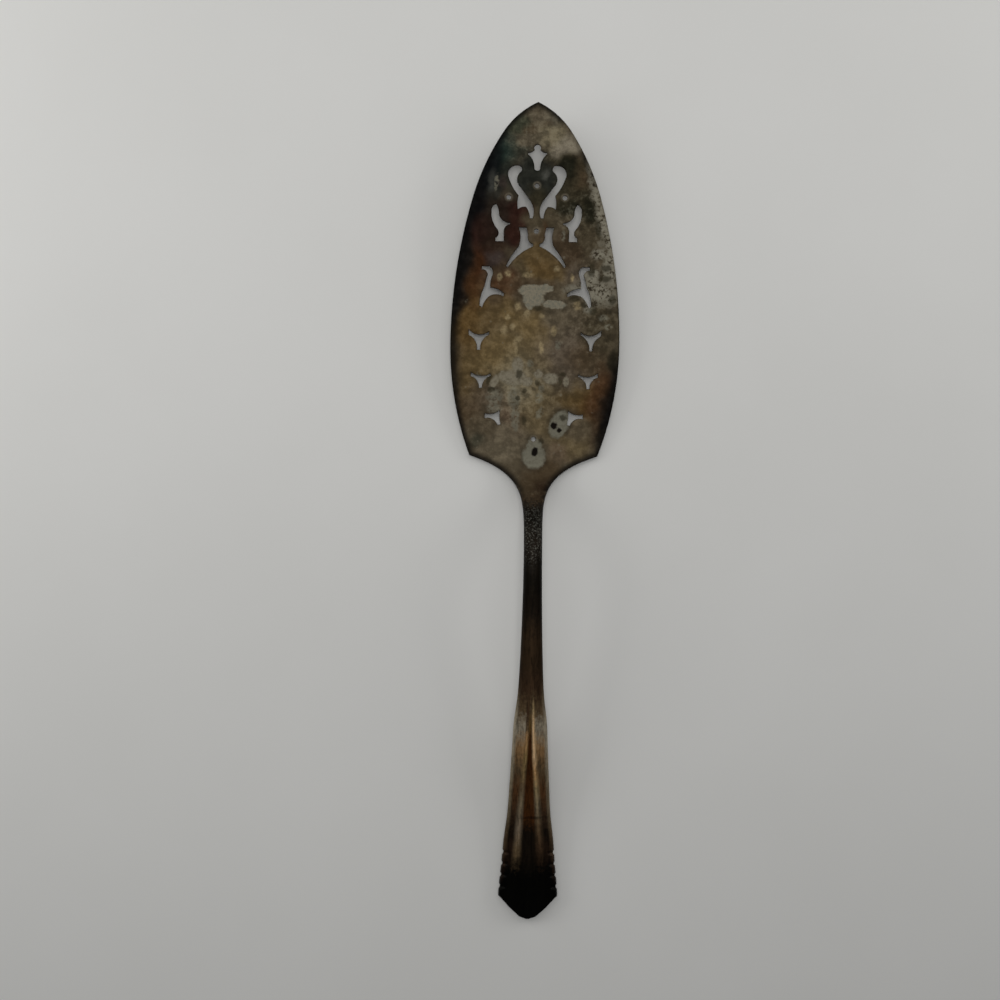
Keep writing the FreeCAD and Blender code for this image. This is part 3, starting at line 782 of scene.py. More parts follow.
def build_server():
    shell = Shell()
    ys = stations()
    rings = [add_ring(shell, y) for y in ys]
    for first, second in zip(rings, rings[1:]):
        join_rings(shell, first, second)
    build_handle_end(shell, rings[-1], ys[-1])
    build_blade(shell, rings[0])

    mesh = bpy.data.meshes.new("pie_server_dressed")
    mesh.from_pydata(shell.points, [], shell.faces)
    mesh.validate()
    form = np.ones((len(shell.points), 4), dtype=np.float32)
    form[:, 0] = edge_shares(np.array(shell.points) / MM, ys)
    form[:, 1:3] = shell.form
    add_values(mesh, "form", form)
    paint(mesh)
    mesh.shade_smooth()
    obj = bpy.data.objects.new("pie_server_dressed", mesh)
    bpy.context.scene.collection.objects.link(obj)
    clean_mesh(mesh)
    weighted = obj.modifiers.new("even_normals", "WEIGHTED_NORMAL")
    weighted.keep_sharp = True
    weighted.weight = 70
    return obj


SHARP_ANGLE = math.radians(42)


def clean_mesh(mesh):
    """Faces made to point outwards and sharp edges marked."""
    bm = bmesh.new()
    bm.from_mesh(mesh)
    bmesh.ops.recalc_face_normals(bm, faces=bm.faces)
    open_edges = [e for e in bm.edges if len(e.link_faces) != 2]
    for edge in bm.edges:
        if len(edge.link_faces) == 2 and edge.calc_face_angle() > SHARP_ANGLE:
            edge.smooth = False
    volume = round(bm.calc_volume() * 1e6, 3)
    bm.to_mesh(mesh)
    bm.free()
    print("mesh faces", len(mesh.polygons), "open edges", len(open_edges), "volume cm3", volume)


# Material

# How much of its base colour each part shows in the scene's light
LIGHT_ON_BLADE = 0.82
LIGHT_ON_HANDLE = 0.42
# Radius of the pale ring round each dot
DOT_RIM = 1.15

# Tarnish as it looks in the table's light, as sRGB from 0 to 255; the light colours of the handle's
# ribs are partly a painted highlight
TARNISH_AND_HIGHLIGHTS = {
    "black": (2, 2, 1), "soot": (3, 6, 7), "night": (4, 3, 4), "coal": (8, 6, 3),
    "pitch": (17, 12, 7), "ink_olive": (25, 24, 13), "green_black": (17, 24, 22),
    "teal": (32, 44, 38), "fern": (58, 61, 47), "moss": (47, 50, 41), "slate": (31, 32, 27),
    "khaki": (42, 38, 25), "bark": (29, 19, 12), "cocoa": (36, 26, 16), "maroon": (40, 17, 10),
    "rust": (54, 30, 11), "russet": (66, 43, 24), "walnut": (45, 32, 21), "umber": (58, 46, 32),
    "oak": (70, 57, 40), "olive": (65, 57, 42), "amber": (80, 61, 32), "bronze": (80, 65, 40),
    "honey": (96, 80, 51), "tan": (95, 82, 58), "taupe": (76, 67, 52), "dun": (80, 71, 56),
    "mauve": (79, 69, 57), "plum": (50, 41, 37), "rose": (86, 71, 56), "fawn": (93, 84, 68),
    "pewter": (80, 80, 74), "stone": (92, 87, 74), "ash": (99, 96, 83), "sand": (112, 103, 82),
    "bone": (118, 110, 95), "cream": (130, 123, 106), "lichen": (134, 129, 114),
    "toffee": (114, 88, 58), "wheat": (140, 117, 88), "ochre": (126, 112, 84),
    "chalk": (116, 113, 99),
}


def tint(name, light=LIGHT_ON_BLADE):
    """Base colour that looks like this tarnish in the table's light, on the handle's ribs partly a
    painted highlight.
    """
    out = []
    for value in TARNISH_AND_HIGHLIGHTS[name]:
        value /= 255
        value = value / 12.92 if value <= 0.04045 else ((value + 0.055) / 1.055) ** 2.4
        out.append(min(1.0, value / light))
    return tuple(out) + (1.0,)


# Stains on the blade, each over the ones before: tarnish, strength, softness, place, radii and,
# where it isn't 0, turn in degrees
STAINS = [
    ("dun", 1, 0.5, 0, 119, 13, 11), ("fern", 0.9, 0.6, -7.5, 118.5, 4.5, 5.5, -30),
    ("moss", 0.8, 0.6, -5, 113, 4, 3), ("sand", 0.95, 0.6, 4.5, 117, 5, 3, -25),
    ("stone", 0.8, 0.6, 5, 121.5, 3, 3), ("fawn", 0.7, 0.7, 1.5, 123, 4, 2.5),
    ("fawn", 0.8, 0.7, -3.5, 116, 3.5, 1.5, 10), ("oak", 0.7, 0.7, -2.5, 119, 2, 1.3),
    ("oak", 0.6, 0.7, 3, 119.5, 1.5, 1), ("olive", 0.6, 0.7, 4.5, 112.5, 2, 2.2),
    ("sand", 0.95, 0.6, 8.2, 113, 3, 3.2, -10), ("slate", 1, 0.45, 0, 103.5, 9, 8.5),
    ("olive", 0.9, 0.6, 0, 93, 8, 4), ("khaki", 0.9, 0.6, -0.5, 97, 3, 4),
    ("oak", 0.95, 0.6, 12.5, 103.5, 3.2, 5.5, 18), ("khaki", 0.8, 0.6, 13.5, 99.5, 2.6, 2.8),
    ("ink_olive", 1, 0.55, 9.5, 106.5, 2.8, 3.5), ("khaki", 0.8, 0.6, 6, 111.2, 4, 1.6, -10),
    ("khaki", 0.8, 0.6, 9.5, 101, 2.6, 2.6), ("olive", 0.9, 0.6, 8, 96.5, 4, 2.5),
    ("khaki", 1, 0.6, 10.2, 95.2, 3.4, 3.2), ("khaki", 1, 0.5, 15.8, 94, 3, 6, 12),
    ("ink_olive", 0.8, 0.6, 16.2, 93, 1.8, 4, 12), ("pewter", 0.6, 0.6, 3.2, 105, 0.9, 2, -10),
    ("bone", 0.9, 0.5, 11.6, 113.2, 2.4, 3, 28), ("bone", 0.9, 0.6, 8.6, 112.8, 2.6, 2.2),
    ("khaki", 0.7, 0.6, 14, 106.2, 1.6, 2.4, 20), ("khaki", 0.7, 0.5, 11.2, 119.6, 1.4, 4.2, 36),
    ("khaki", 0.7, 0.5, 14.4, 112, 1.2, 3.8, 30), ("khaki", 0.9, 0.5, 16.4, 107.8, 1.3, 3.2, 26),
    ("teal", 1, 0.5, -11, 112, 4.5, 4.5, -28), ("green_black", 1, 0.6, -12.5, 104, 4, 6, -20),
    ("green_black", 1, 0.5, -14, 108.5, 3, 8, -28), ("bark", 1, 0.6, -10, 94.5, 5, 4.5),
    ("maroon", 0.9, 0.6, -5.5, 93, 3, 2.5), ("bark", 1, 0.6, -11, 87.5, 6, 5),
    ("maroon", 0.9, 0.6, -6, 88, 2.2, 4.5), ("soot", 1, 0.5, -15.5, 103, 4, 9, -22),
    ("night", 1, 0.5, -18.8, 93, 4.5, 9, -12), ("pewter", 0.4, 0.6, -12.8, 102.5, 1.2, 3.2, -8),
    ("plum", 0.7, 0.6, -9.4, 102.5, 1.2, 2.4, -15), ("maroon", 1, 0.6, -17.5, 86.5, 4, 5, -8),
    ("maroon", 1, 0.7, -17, 81, 4.5, 5), ("walnut", 0.9, 0.7, -13, 83.5, 4, 3),
    ("rust", 1, 0.6, -19.5, 75, 4.5, 8, -5), ("russet", 0.8, 0.6, -21.5, 70, 3, 6, -4),
    ("pitch", 1, 0.5, -22.5, 80, 2.8, 12, -7), ("plum", 1, 0.6, -12.8, 79, 3.5, 2.8),
    ("umber", 0.7, 0.7, -10.5, 76, 2.4, 3.5, -10), ("russet", 0.9, 0.7, -9, 71.5, 3.5, 4),
    ("russet", 0.8, 0.7, -13.5, 72.5, 3, 3.5), ("umber", 0.7, 0.6, -12.5, 75.5, 3, 2.2),
    ("olive", 0.9, 0.6, 0, 90.5, 4, 2.5), ("russet", 0.8, 0.6, 2, 87, 1, 3),
    ("oak", 0.8, 0.6, 0, 85.5, 2, 2.5), ("umber", 0.9, 0.6, 8.5, 83.5, 5, 4.5),
    ("umber", 0.9, 0.6, 12.5, 81, 4.5, 4.5), ("olive", 0.9, 0.6, 17.5, 85, 4.5, 5),
    ("olive", 0.8, 0.6, 14, 88, 3.5, 3), ("bronze", 1, 0.22, 0.3, 77.8, 7.2, 5.7),
    ("olive", 0.6, 0.7, -4.2, 76.5, 2.5, 3.5), ("amber", 0.5, 0.6, 1.5, 76.5, 3.5, 3),
    ("bronze", 0.8, 0.6, 8.5, 75.5, 2.5, 3.5, 30), ("oak", 0.9, 0.6, 0, 71.6, 7.5, 1.6),
    ("taupe", 0.8, 0.6, 7.5, 70, 3, 2.5), ("mauve", 0.8, 0.6, 12.5, 74.5, 3, 4),
    ("taupe", 0.8, 0.6, 17.8, 78.5, 3.6, 3), ("amber", 1, 0.7, -19.5, 62, 6, 8),
    ("bronze", 0.9, 0.7, -13, 61.5, 5, 5), ("oak", 0.8, 0.7, -13, 66.8, 4, 2.6),
    ("bronze", 0.9, 0.7, -8, 64.5, 3, 4), ("honey", 0.8, 0.7, -6.5, 60, 3.5, 4),
    ("honey", 0.9, 0.7, 0, 57, 4, 7), ("honey", 0.9, 0.7, -11, 50, 8, 6),
    ("amber", 0.9, 0.7, -21, 54, 5, 6), ("tan", 0.9, 0.7, 2, 50, 4.5, 5),
    ("bronze", 0.8, 0.7, -20, 46, 5, 5), ("honey", 0.8, 0.7, -15, 45, 6, 4),
    ("mauve", 1, 0.7, 10, 51, 7, 9), ("dun", 0.9, 0.7, 8, 61.5, 5, 4),
    ("olive", 1, 0.7, 20, 60, 6, 8), ("olive", 0.9, 0.7, 20, 51, 5, 8),
    ("oak", 0.8, 0.7, 14.5, 49, 4, 5), ("bronze", 0.95, 0.6, 12, 37, 7, 3.8),
    ("amber", 0.95, 0.7, 17.5, 34, 4.5, 6), ("bronze", 0.9, 0.7, -20, 40, 5, 6),
    ("oak", 0.9, 0.7, -20.5, 33, 4, 5, 10), ("mauve", 0.7, 0.7, -14, 37, 5, 5),
    ("rose", 0.9, 0.7, -7, 32, 5, 6), ("tan", 0.9, 0.7, 0, 35.5, 5, 6),
    ("tan", 0.9, 0.7, 3, 27.5, 5, 4), ("fawn", 0.8, 0.7, -9, 25.5, 4, 4),
    ("taupe", 0.9, 0.7, -16.5, 26, 4.5, 4.5), ("moss", 0.6, 0.6, -17.8, 22, 3.2, 2.6, 20),
    ("fawn", 0.9, 0.7, -11, 19.5, 5, 3.5, 15), ("fawn", 0.7, 0.8, 0, 20, 8, 6),
    ("tan", 0.9, 0.7, 11, 23, 7, 4.5), ("rose", 0.7, 0.7, 7, 19, 3.5, 3),
    ("dun", 0.7, 0.7, 14, 27, 4, 3), ("taupe", 0.9, 0.7, -5, 14, 6, 3, 20),
    ("oak", 0.9, 0.7, 5, 13.5, 6, 3, -20), ("oak", 0.9, 0.7, 0, 10, 6, 3.2),
    ("walnut", 0.9, 0.7, 2.5, 7, 4, 3), ("sand", 0.75, 0.7, -6, 41.5, 7, 7),
    ("russet", 0.85, 0.6, 21, 37, 4.5, 9, -6), ("walnut", 0.7, 0.6, 20, 27, 3.5, 6, -12),
    ("bark", 0.6, 0.6, -15, 88, 3.5, 7, -10), ("dun", 0.8, 0.7, -9, 11, 3.5, 2.6, 20),
    ("ink_olive", 0.8, 0.6, 10.2, 95.4, 2.4, 2.4), ("rust", 0.6, 0.6, -20.5, 69, 3.5, 4),
    ("pitch", 0.85, 0.6, 23.2, 32, 2.4, 9, -8), ("pitch", 0.5, 0.6, 20.6, 23, 1.6, 5, -14),
    ("ink_olive", 0.7, 0.5, 25.4, 45, 1.6, 8), ("pitch", 0.95, 0.6, -24.8, 67.5, 2.2, 7.5, -3),
]

# Zones: grey crust along the right side, rough mottling, quiet dark tarnish, edge left bright
CRUST = [
    (16.8, 103.5, 1.8, 5, 16), (19, 98.5, 1.8, 5, 13), (20.6, 93.5, 1.9, 5, 11),
    (22.1, 87, 2.1, 6, 7), (23.8, 79, 2.1, 8, 4), (19.5, 80.5, 2.5, 1.6), (13.5, 69.3, 4, 1.5),
    (19.3, 69.2, 6, 3.9), (18, 73.6, 3, 2), (16.5, 63.6, 1.6, 1.3),
]
MOTTLED = [
    (2, 117, 14, 13), (13, 97, 7, 14, 15), (19, 66, 8, 16), (-4, 39, 12, 9),
]
QUIET = [
    (-17, 97, 9, 22, -18), (-18, 80, 8, 16), (-12, 89, 9, 9), (0, 103, 8, 8), (9.5, 105, 5, 6),
    (24, 40, 4, 20),
]
BRIGHT_EDGE = [
    (22, 86, 7, 21, 9), (25, 70, 4, 6), (12.5, 115, 3.5, 5, 32), (25, 57, 4, 8),
]

ZONES = [(CRUST, 0.45), (MOTTLED, 0.6), (QUIET, 0.5), (BRIGHT_EDGE, 0.5)]

# Corroded places with firm borders
PALE_PATCH = [
    (-0.8, 69.6, 4.4, 1.9), (-0.6, 67.2, 3.3, 2.7), (3.1, 70.2, 2.5, 1.2), (-1.9, 65, 1.1, 1.4),
    (5.9, 65.3, 3.7, 1.3, -2),
]
PATCH_HALO = [
    (-0.5, 68.8, 6.4, 4.6), (5.9, 65.3, 5, 2.6),
]
PALE_MARKS = [
    (-5.3, 46.4, 1.7, 2.5), (-6.3, 42.6, 3.5, 2.4), (-2.3, 41.4, 1.5, 1.4), (-9.6, 43, 1.6, 1.6),
    (1.3, 43.8, 1.3, 1.3), (5.2, 42.4, 2.3, 1.6, -4), (9.9, 41.6, 1, 1.6),
    (-12.4, 41.3, 1.1, 2.2, -30),
]
DULL_MARKS = [
    (-12.4, 36.6, 2.4, 2.3), (-12.4, 33, 2.2, 1.7), (-6.4, 36.6, 1.9, 3.3), (-5.8, 31.3, 1.5, 2.4),
    (-5.7, 28, 1.1, 2), (2.2, 39.4, 0.9, 1.3), (1.6, 36.4, 1.2, 1.6), (1.8, 31.6, 1, 1.8, -30),
    (-17.2, 42.2, 0.9, 1.9, 20), (-1.5, 47, 1, 1.2), (7.2, 52.8, 0.9, 1.4), (21.2, 61.3, 1.4, 1),
    (22.8, 58.7, 1.2, 0.9), (17.2, 64.2, 1.2, 0.9), (8.3, 86.4, 0.7, 1.5),
    (-12.6, 102.6, 0.6, 2.4, -8),
]
RINGS = [
    (0.2, 17.9, 3.6, 3.7), (0.3, 21.2, 2.4, 2.4), (8, 28.2, 2.9, 4.4, -24),
]
RING_HALOS = [
    (0.3, 18.4, 4.7, 5.2), (0.3, 22.6, 2.9, 2.8), (7.9, 28.2, 3.9, 5.3, -24),
]
CORES = [
    (0.4, 19.5, 1, 1.35, -14), (6.4, 27.8, 1, 1.15, 10), (8.1, 26.4, 0.85, 0.75),
]
DARK_SPOTS = [
    (9.2, 30.3, 1.15, 0.95), (2.5, 23, 0.9, 0.9), (-4.8, 43.6, 0.95, 1.5),
    (-14.3, 42, 0.8, 1.6, -25), (-13.4, 38.8, 1.1, 0.8), (-5.1, 36.3, 0.7, 0.7),
    (-3, 38.5, 0.8, 0.8), (0.9, 41.2, 0.9, 0.8), (8.1, 41.5, 0.5, 1.4), (8.8, 43.8, 1.1, 0.7),
    (-3, 29.2, 0.8, 1.4), (17.1, 76, 1.1, 2.2), (21.9, 76.6, 1.7, 1.2), (21.6, 73.4, 2, 1),
    (24, 66.9, 1.2, 1.4), (12, 67.1, 1.7, 1), (14.9, 65.3, 0.9, 0.9), (18.2, 63.2, 1.2, 1),
    (0.9, 64.1, 1.4, 0.8), (19.2, 88.5, 0.9, 3, 10),
]
SPOTS = [
    (-5.5, 54.2, 0.9, 1.6, -28), (-5.8, 51.2, 0.5, 1.4), (-9.6, 57.3, 0.9, 1.1),
    (-6.9, 58.6, 0.8, 0.9), (-8.4, 61.3, 0.7, 0.7), (5.9, 57.3, 0.8, 1.4), (2.1, 52, 0.6, 1.7, 5),
    (-2.6, 62.6, 0.8, 1.1, -10), (2, 61.8, 0.8, 0.7), (-5.5, 64.7, 0.9, 1.1), (13, 65, 0.9, 1.3),
    (-2.6, 74.3, 1.3, 0.8), (-8.6, 74.8, 0.9, 0.9), (-11.2, 73.6, 0.7, 1.1),
    (6.5, 76.3, 0.9, 0.8, -40), (11.3, 73.6, 0.5, 1.1),
]

# Tarnish along the neck, shank and handle, from the handle's end upwards; the ribs' colours are
# partly a painted highlight
VALLEY_STOPS = [
    (-114, "black"), (-107, "pitch"), (-99, "pitch"), (-94, "rust"), (-80, "rust"), (-70, "rust"),
    (-65, "amber"), (-61, "oak"), (-54, "walnut"), (-46, "cocoa"), (-38, "cocoa"), (-30, "pitch"),
    (-20, "coal"), (-8, "pitch"), (0, "coal"), (3, "pitch"), (6, "umber"), (8, "taupe"),
    (11, "dun"),
]
# Ribs: their tarnish, made lighter by a painted highlight along them
RIGHT_RIB_AND_HIGHLIGHT_STOPS = [
    (-112, "black"), (-104, "walnut"), (-97, "umber"), (-91, "taupe"), (-85, "tan"),
    (-80, "toffee"), (-75, "wheat"), (-65, "wheat"), (-60, "tan"), (-55, "umber"), (-46, "cocoa"),
]
LEFT_RIB_AND_HIGHLIGHT_STOPS = [
    (-112, "black"), (-105, "oak"), (-98, "mauve"), (-90, "taupe"), (-84, "oak"), (-76, "honey"),
    (-69, "toffee"), (-66, "oak"), (-62, "walnut"), (-50, "cocoa"),
]
CHANNEL_STOPS = [
    (-112, "black"), (-104, "bark"), (-99, "pitch"), (-94, "walnut"), (-86, "russet"),
    (-79, "oak"), (-72, "toffee"), (-66, "bone"), (-61, "oak"), (-54, "walnut"),
]
RIM_STOPS = [
    (-116, "black"), (-109, "bark"), (-100, "umber"), (-92, "taupe"), (-82, "fawn"), (-66, "bone"),
    (-57, "taupe"),
]


def ellipse_share(points, soft, x, y, rx, ry, turn=0):
    """1 inside an ellipse, fading to 0 over the soft share of its radius."""
    c, s = math.cos(math.radians(turn)), math.sin(math.radians(turn))
    dx, dy = points[:, 0] - x, points[:, 1] - y
    away = np.hypot((c * dx + s * dy) / rx, (c * dy - s * dx) / ry)
    t = np.clip((1 + soft - away) / (2 * soft), 0, 1)
    return t * t * (3 - 2 * t)


# Blender offsets this noise by the clock unless its seed is set
NOISE_SEED = 1796127239


def stain_points(plan):
    """Plan places moved about a little, so that the stains get wandering borders."""
    noise.seed_set(NOISE_SEED)
    moved = []
    for x, y in plan:
        broad = noise.noise_vector(Vector((x * 0.13, y * 0.13, 3.1)))
        small = noise.noise_vector(Vector((x * 0.38, y * 0.38, 8.4)))
        moved.append((x + 2.6 * broad.x + 1.3 * small.x, y + 2.6 * broad.y + 1.3 * small.y))
    return np.array(moved)


def paint(mesh):
    """Stains and zones of the blade, the neck and the shank as values at the vertices."""
    plan = np.array([(v.co.x / MM, v.co.y / MM) for v in mesh.vertices])
    near = plan[:, 1] > HANDLE_Y
    at = stain_points(plan[near])
    colour = np.tile(np.array(tint("taupe")[:3]), (len(at), 1))
    for name, strength, soft, *place in STAINS:
        share = strength * ellipse_share(at, soft, *place)[:, None]
        colour = colour * (1 - share) + np.array(tint(name)[:3]) * share
    stain = np.ones((len(plan), 4), dtype=np.float32)
    stain[near, :3] = colour
    zone = np.zeros((len(plan), 4), dtype=np.float32)
    for channel, (rows, soft) in enumerate(ZONES):
        for row in rows:
            share = ellipse_share(at, soft, *row)
            zone[near, channel] = np.maximum(zone[near, channel], share)
    add_values(mesh, "stain", stain)
    add_values(mesh, "zone", zone)


class Nodes:
    """Short names for the nodes of one material or world."""

    def __init__(self, owner):
        owner.use_nodes = True
        self.tree = owner.node_tree
        self.tree.nodes.clear()

    def new(self, kind, *values, **settings):
        """Node with its settings, and its inputs from the first on; None leaves one as it is."""
        node = self.tree.nodes.new("ShaderNode" + kind)
        for name, value in settings.items():
            setattr(node, name, value)
        for socket, value in zip(node.inputs, values):
            self.put(socket, value)
        return node

    def put(self, socket, value):
        if isinstance(value, bpy.types.NodeSocket):
            self.tree.links.new(value, socket)
        elif value is not None:
            socket.default_value = value

    def surface(self, normal=None, **values):
        """The principled shader and the output, with inputs such as base_color."""
        shader = self.new("BsdfPrincipled")
        for name, value in values.items():
            self.put(shader.inputs[PRINCIPLED[name]], value)
        self.put(shader.inputs["Normal"], normal)
        self.new("OutputMaterial", shader.outputs[0])

    def math(self, operation, *values, clamp=False):
        return self.new("Math", *values, operation=operation, use_clamp=clamp).outputs[0]

    def vector(self, operation, *values, out=0):
        return self.new("VectorMath", *values, operation=operation).outputs[out]

    def mix(self, share, a, b, blend="MIX"):
        node = self.new("Mix", data_type="RGBA", blend_type=blend, clamp_factor=True)
        for socket, value in ((0, share), (6, a), (7, b)):
            self.put(node.inputs[socket], value)
        return node.outputs[2]

    def blend(self, share, a, b):
        return self.new("Mix", share, None, a, b, data_type="FLOAT", clamp_factor=True).outputs[0]

    def scale(self, share, colour, factor):
        """Colour with part of it made darker or lighter by the factor."""
        return self.mix(share, colour, (factor, factor, factor, 1.0), "MULTIPLY")

    def step(self, *values):
        """Smooth step of a value from low to high, to 0 and 1 or to two other values."""
        values += (0.0, 1.0)[len(values) - 3:]
        node = self.new("MapRange", *values, interpolation_type="SMOOTHSTEP", clamp=True)
        return node.outputs[0]

    def times(self, *values):
        result = values[0]
        for value in values[1:]:
            result = self.math("MULTIPLY", result, value)
        return result

    def less(self, value):
        return self.math("SUBTRACT", 1.0, value, clamp=True)

    def split(self, colour):
        return list(self.new("SeparateColor", colour).outputs)

    def attribute(self, name):
        """Red, green, blue and alpha of a value kept at the vertices, and its colour."""
        node = self.new("Attribute", attribute_name=name)
        colour = node.outputs["Color"]
        return self.split(colour) + [node.outputs["Alpha"], colour]

    def noise(self, at, scale, detail, rough, out=0):
        return self.new("TexNoise", at, None, scale, detail, rough).outputs[out]

    def flecks(self, at, scale, size, share, soft=0.35):
        """Small round flecks in part of the cells of a loose grid."""
        node = self.new("TexVoronoi", at, None, scale, feature="F1")
        chance, own_size, _ = self.split(node.outputs["Color"])
        reach = self.math("MULTIPLY_ADD", own_size, size * 0.7, size * 0.3)
        low, high = self.times(reach, 1 - soft), self.times(reach, 1 + soft)
        near = self.step(node.outputs["Distance"], low, high, 1.0, 0.0)
        return self.times(near, self.math("LESS_THAN", chance, share))

    def patch(self, at, soft, x, y, rx, ry, turn=0):
        """1 inside an ellipse, fading to 0 over the soft share of its radius."""
        if turn == 0:
            placed = self.vector("MULTIPLY_ADD", at, (1 / rx, 1 / ry, 0), (-x / rx, -y / ry, 0))
            away = self.vector("LENGTH", placed, out=1)
        else:
            c, s = math.cos(math.radians(turn)), math.sin(math.radians(turn))
            u = self.vector("DOT_PRODUCT", at, (c / rx, s / rx, 0), out=1)
            u = self.math("SUBTRACT", u, (c * x + s * y) / rx)
            v = self.vector("DOT_PRODUCT", at, (-s / ry, c / ry, 0), out=1)
            v = self.math("SUBTRACT", v, (c * y - s * x) / ry)
            away = self.math("MULTIPLY_ADD", u, u, self.math("MULTIPLY", v, v))
            away = self.math("SQRT", away)
        return self.step(away, 1 - soft, 1 + soft, 1.0, 0.0)

    def patches(self, at, rows, soft):
        result = self.patch(at, soft, *rows[0])
        for row in rows[1:]:
            result = self.math("MAXIMUM", result, self.patch(at, soft, *row))
        return result

    def sway(self, at, scale, detail, rough, reach):
        """Vector that wanders from place to place, up to about the reach in each direction."""
        parts = self.split(self.noise(at, scale, detail, rough, out=1))
        joined = self.new("CombineXYZ")
        for socket, part in zip(joined.inputs, parts):
            self.put(socket, self.math("MULTIPLY_ADD", part, reach, -0.5 * reach))
        return joined.outputs[0]

    def ramp(self, value, stops):
        """Colours along a value, from rows of (value, name of a tarnish, on the ribs partly a
        painted highlight).
        """
        low, high = stops[0][0], stops[-1][0]
        node = self.new("ValToRGB")
        elements = node.color_ramp.elements
        while len(elements) < len(stops):
            elements.new(0.5)
        for element, (place, _) in zip(elements, stops):
            element.position = (place - low) / (high - low)
        for element, (_, name) in zip(elements, stops):
            element.color = tint(name, LIGHT_ON_HANDLE)
        share = self.new("MapRange", value, low, high, 0.0, 1.0, clamp=True)
        self.put(node.inputs[0], share.outputs[0])
        return node.outputs[0]


PRINCIPLED = {
    "base_color": "Base Color", "metallic": "Metallic", "roughness": "Roughness",
    "specular": "Specular IOR Level",
}


def blade_colour(n, at, blotch, grain, zone, stain):
    """Colour of the blade's upper side and how corroded each place is."""
    crust_zone, mottled, quiet = zone[0], zone[1], zone[2]
    firm_at = n.vector("ADD", at, n.sway(at, 0.75, 3.0, 0.65, 1.5))

    dark_share = n.blend(mottled, 0.40, 1.0)
    blade = n.scale(n.times(n.step(blotch, 0.46, 0.68), dark_share), stain, 0.66)
    blade = n.scale(n.times(n.step(grain, 0.46, 0.74), dark_share), blade, 0.72)
    pale = n.times(n.step(blotch, 0.54, 0.36), n.step(grain, 0.60, 0.38))
    pale = n.times(pale, n.blend(mottled, 0.22, 0.85))
    pale = n.times(pale, n.math("MULTIPLY_ADD", quiet, -0.88, 1.0))
    blade = n.scale(n.times(pale, 0.5), blade, 1.5)
    blade = n.mix(n.times(pale, 0.35), blade, tint("ash"))
    crust_grain = n.math("ADD", n.times(grain, 0.6), n.times(blotch, 0.4))
    crust = n.times(crust_zone, n.step(crust_grain, 0.61, 0.47))
    blade = n.mix(n.times(crust, 0.92), blade, tint("lichen"))
    blade = n.scale(n.times(crust_zone, n.step(crust_grain, 0.54, 0.62)), blade, 0.6)

    dull = n.patches(firm_at, DULL_MARKS, 0.4)
    blade = n.mix(n.times(dull, n.step(grain, 0.66, 0.46), 0.75), blade, tint("ash"))
    blade = n.scale(n.times(n.patches(firm_at, RING_HALOS, 0.22), 0.8), blade, 0.6)
    rings = n.patches(firm_at, RINGS, 0.16)
    blade = n.mix(n.times(rings, n.step(grain, 0.70, 0.42, 0.72, 1.0)), blade, tint("chalk"))
    blade = n.scale(n.times(n.patches(firm_at, PATCH_HALO, 0.22), 0.75), blade, 0.68)
    pale_patch = n.patches(firm_at, PALE_PATCH, 0.16)
    patch_colour = n.mix(n.step(grain, 0.42, 0.60), tint("cream"), tint("chalk"))
    blade = n.mix(pale_patch, blade, patch_colour)
    marks = n.patches(firm_at, PALE_MARKS, 0.3)
    blade = n.mix(n.times(marks, n.step(grain, 0.66, 0.44, 0.5, 0.95)), blade, tint("cream"))
    spots = n.patches(firm_at, SPOTS, 0.65)
    blade = n.mix(n.times(spots, n.step(grain, 0.66, 0.44, 0.35, 0.95)), blade, tint("ochre"))
    tilt = math.cos(BLADE_TILT)
    rims = [(x, SHOULDER_Y + s * tilt, DOT_RIM, DOT_RIM) for x, s in DOTS]
    rims = n.patches(at, rims, 0.4)
    blade = n.mix(n.times(rims, 0.55), blade, tint("bone"))
    dark = n.patches(firm_at, DARK_SPOTS, 0.45)
    blade = n.mix(n.times(dark, 0.75), blade, tint("khaki"))
    blade = n.mix(n.patches(firm_at, CORES, 0.3), blade, tint("pitch"))
    dust = n.flecks(at, 0.5, 0.26, 0.35)
    dust = n.times(dust, n.step(blotch, 0.56, 0.44), n.math("MULTIPLY_ADD", quiet, -0.4, 0.45))
    blade = n.mix(dust, blade, tint("stone"))
    corroded = n.math("MAXIMUM", pale_patch, rings)
    return blade, n.math("MAXIMUM", corroded, n.math("MAXIMUM", crust, marks))


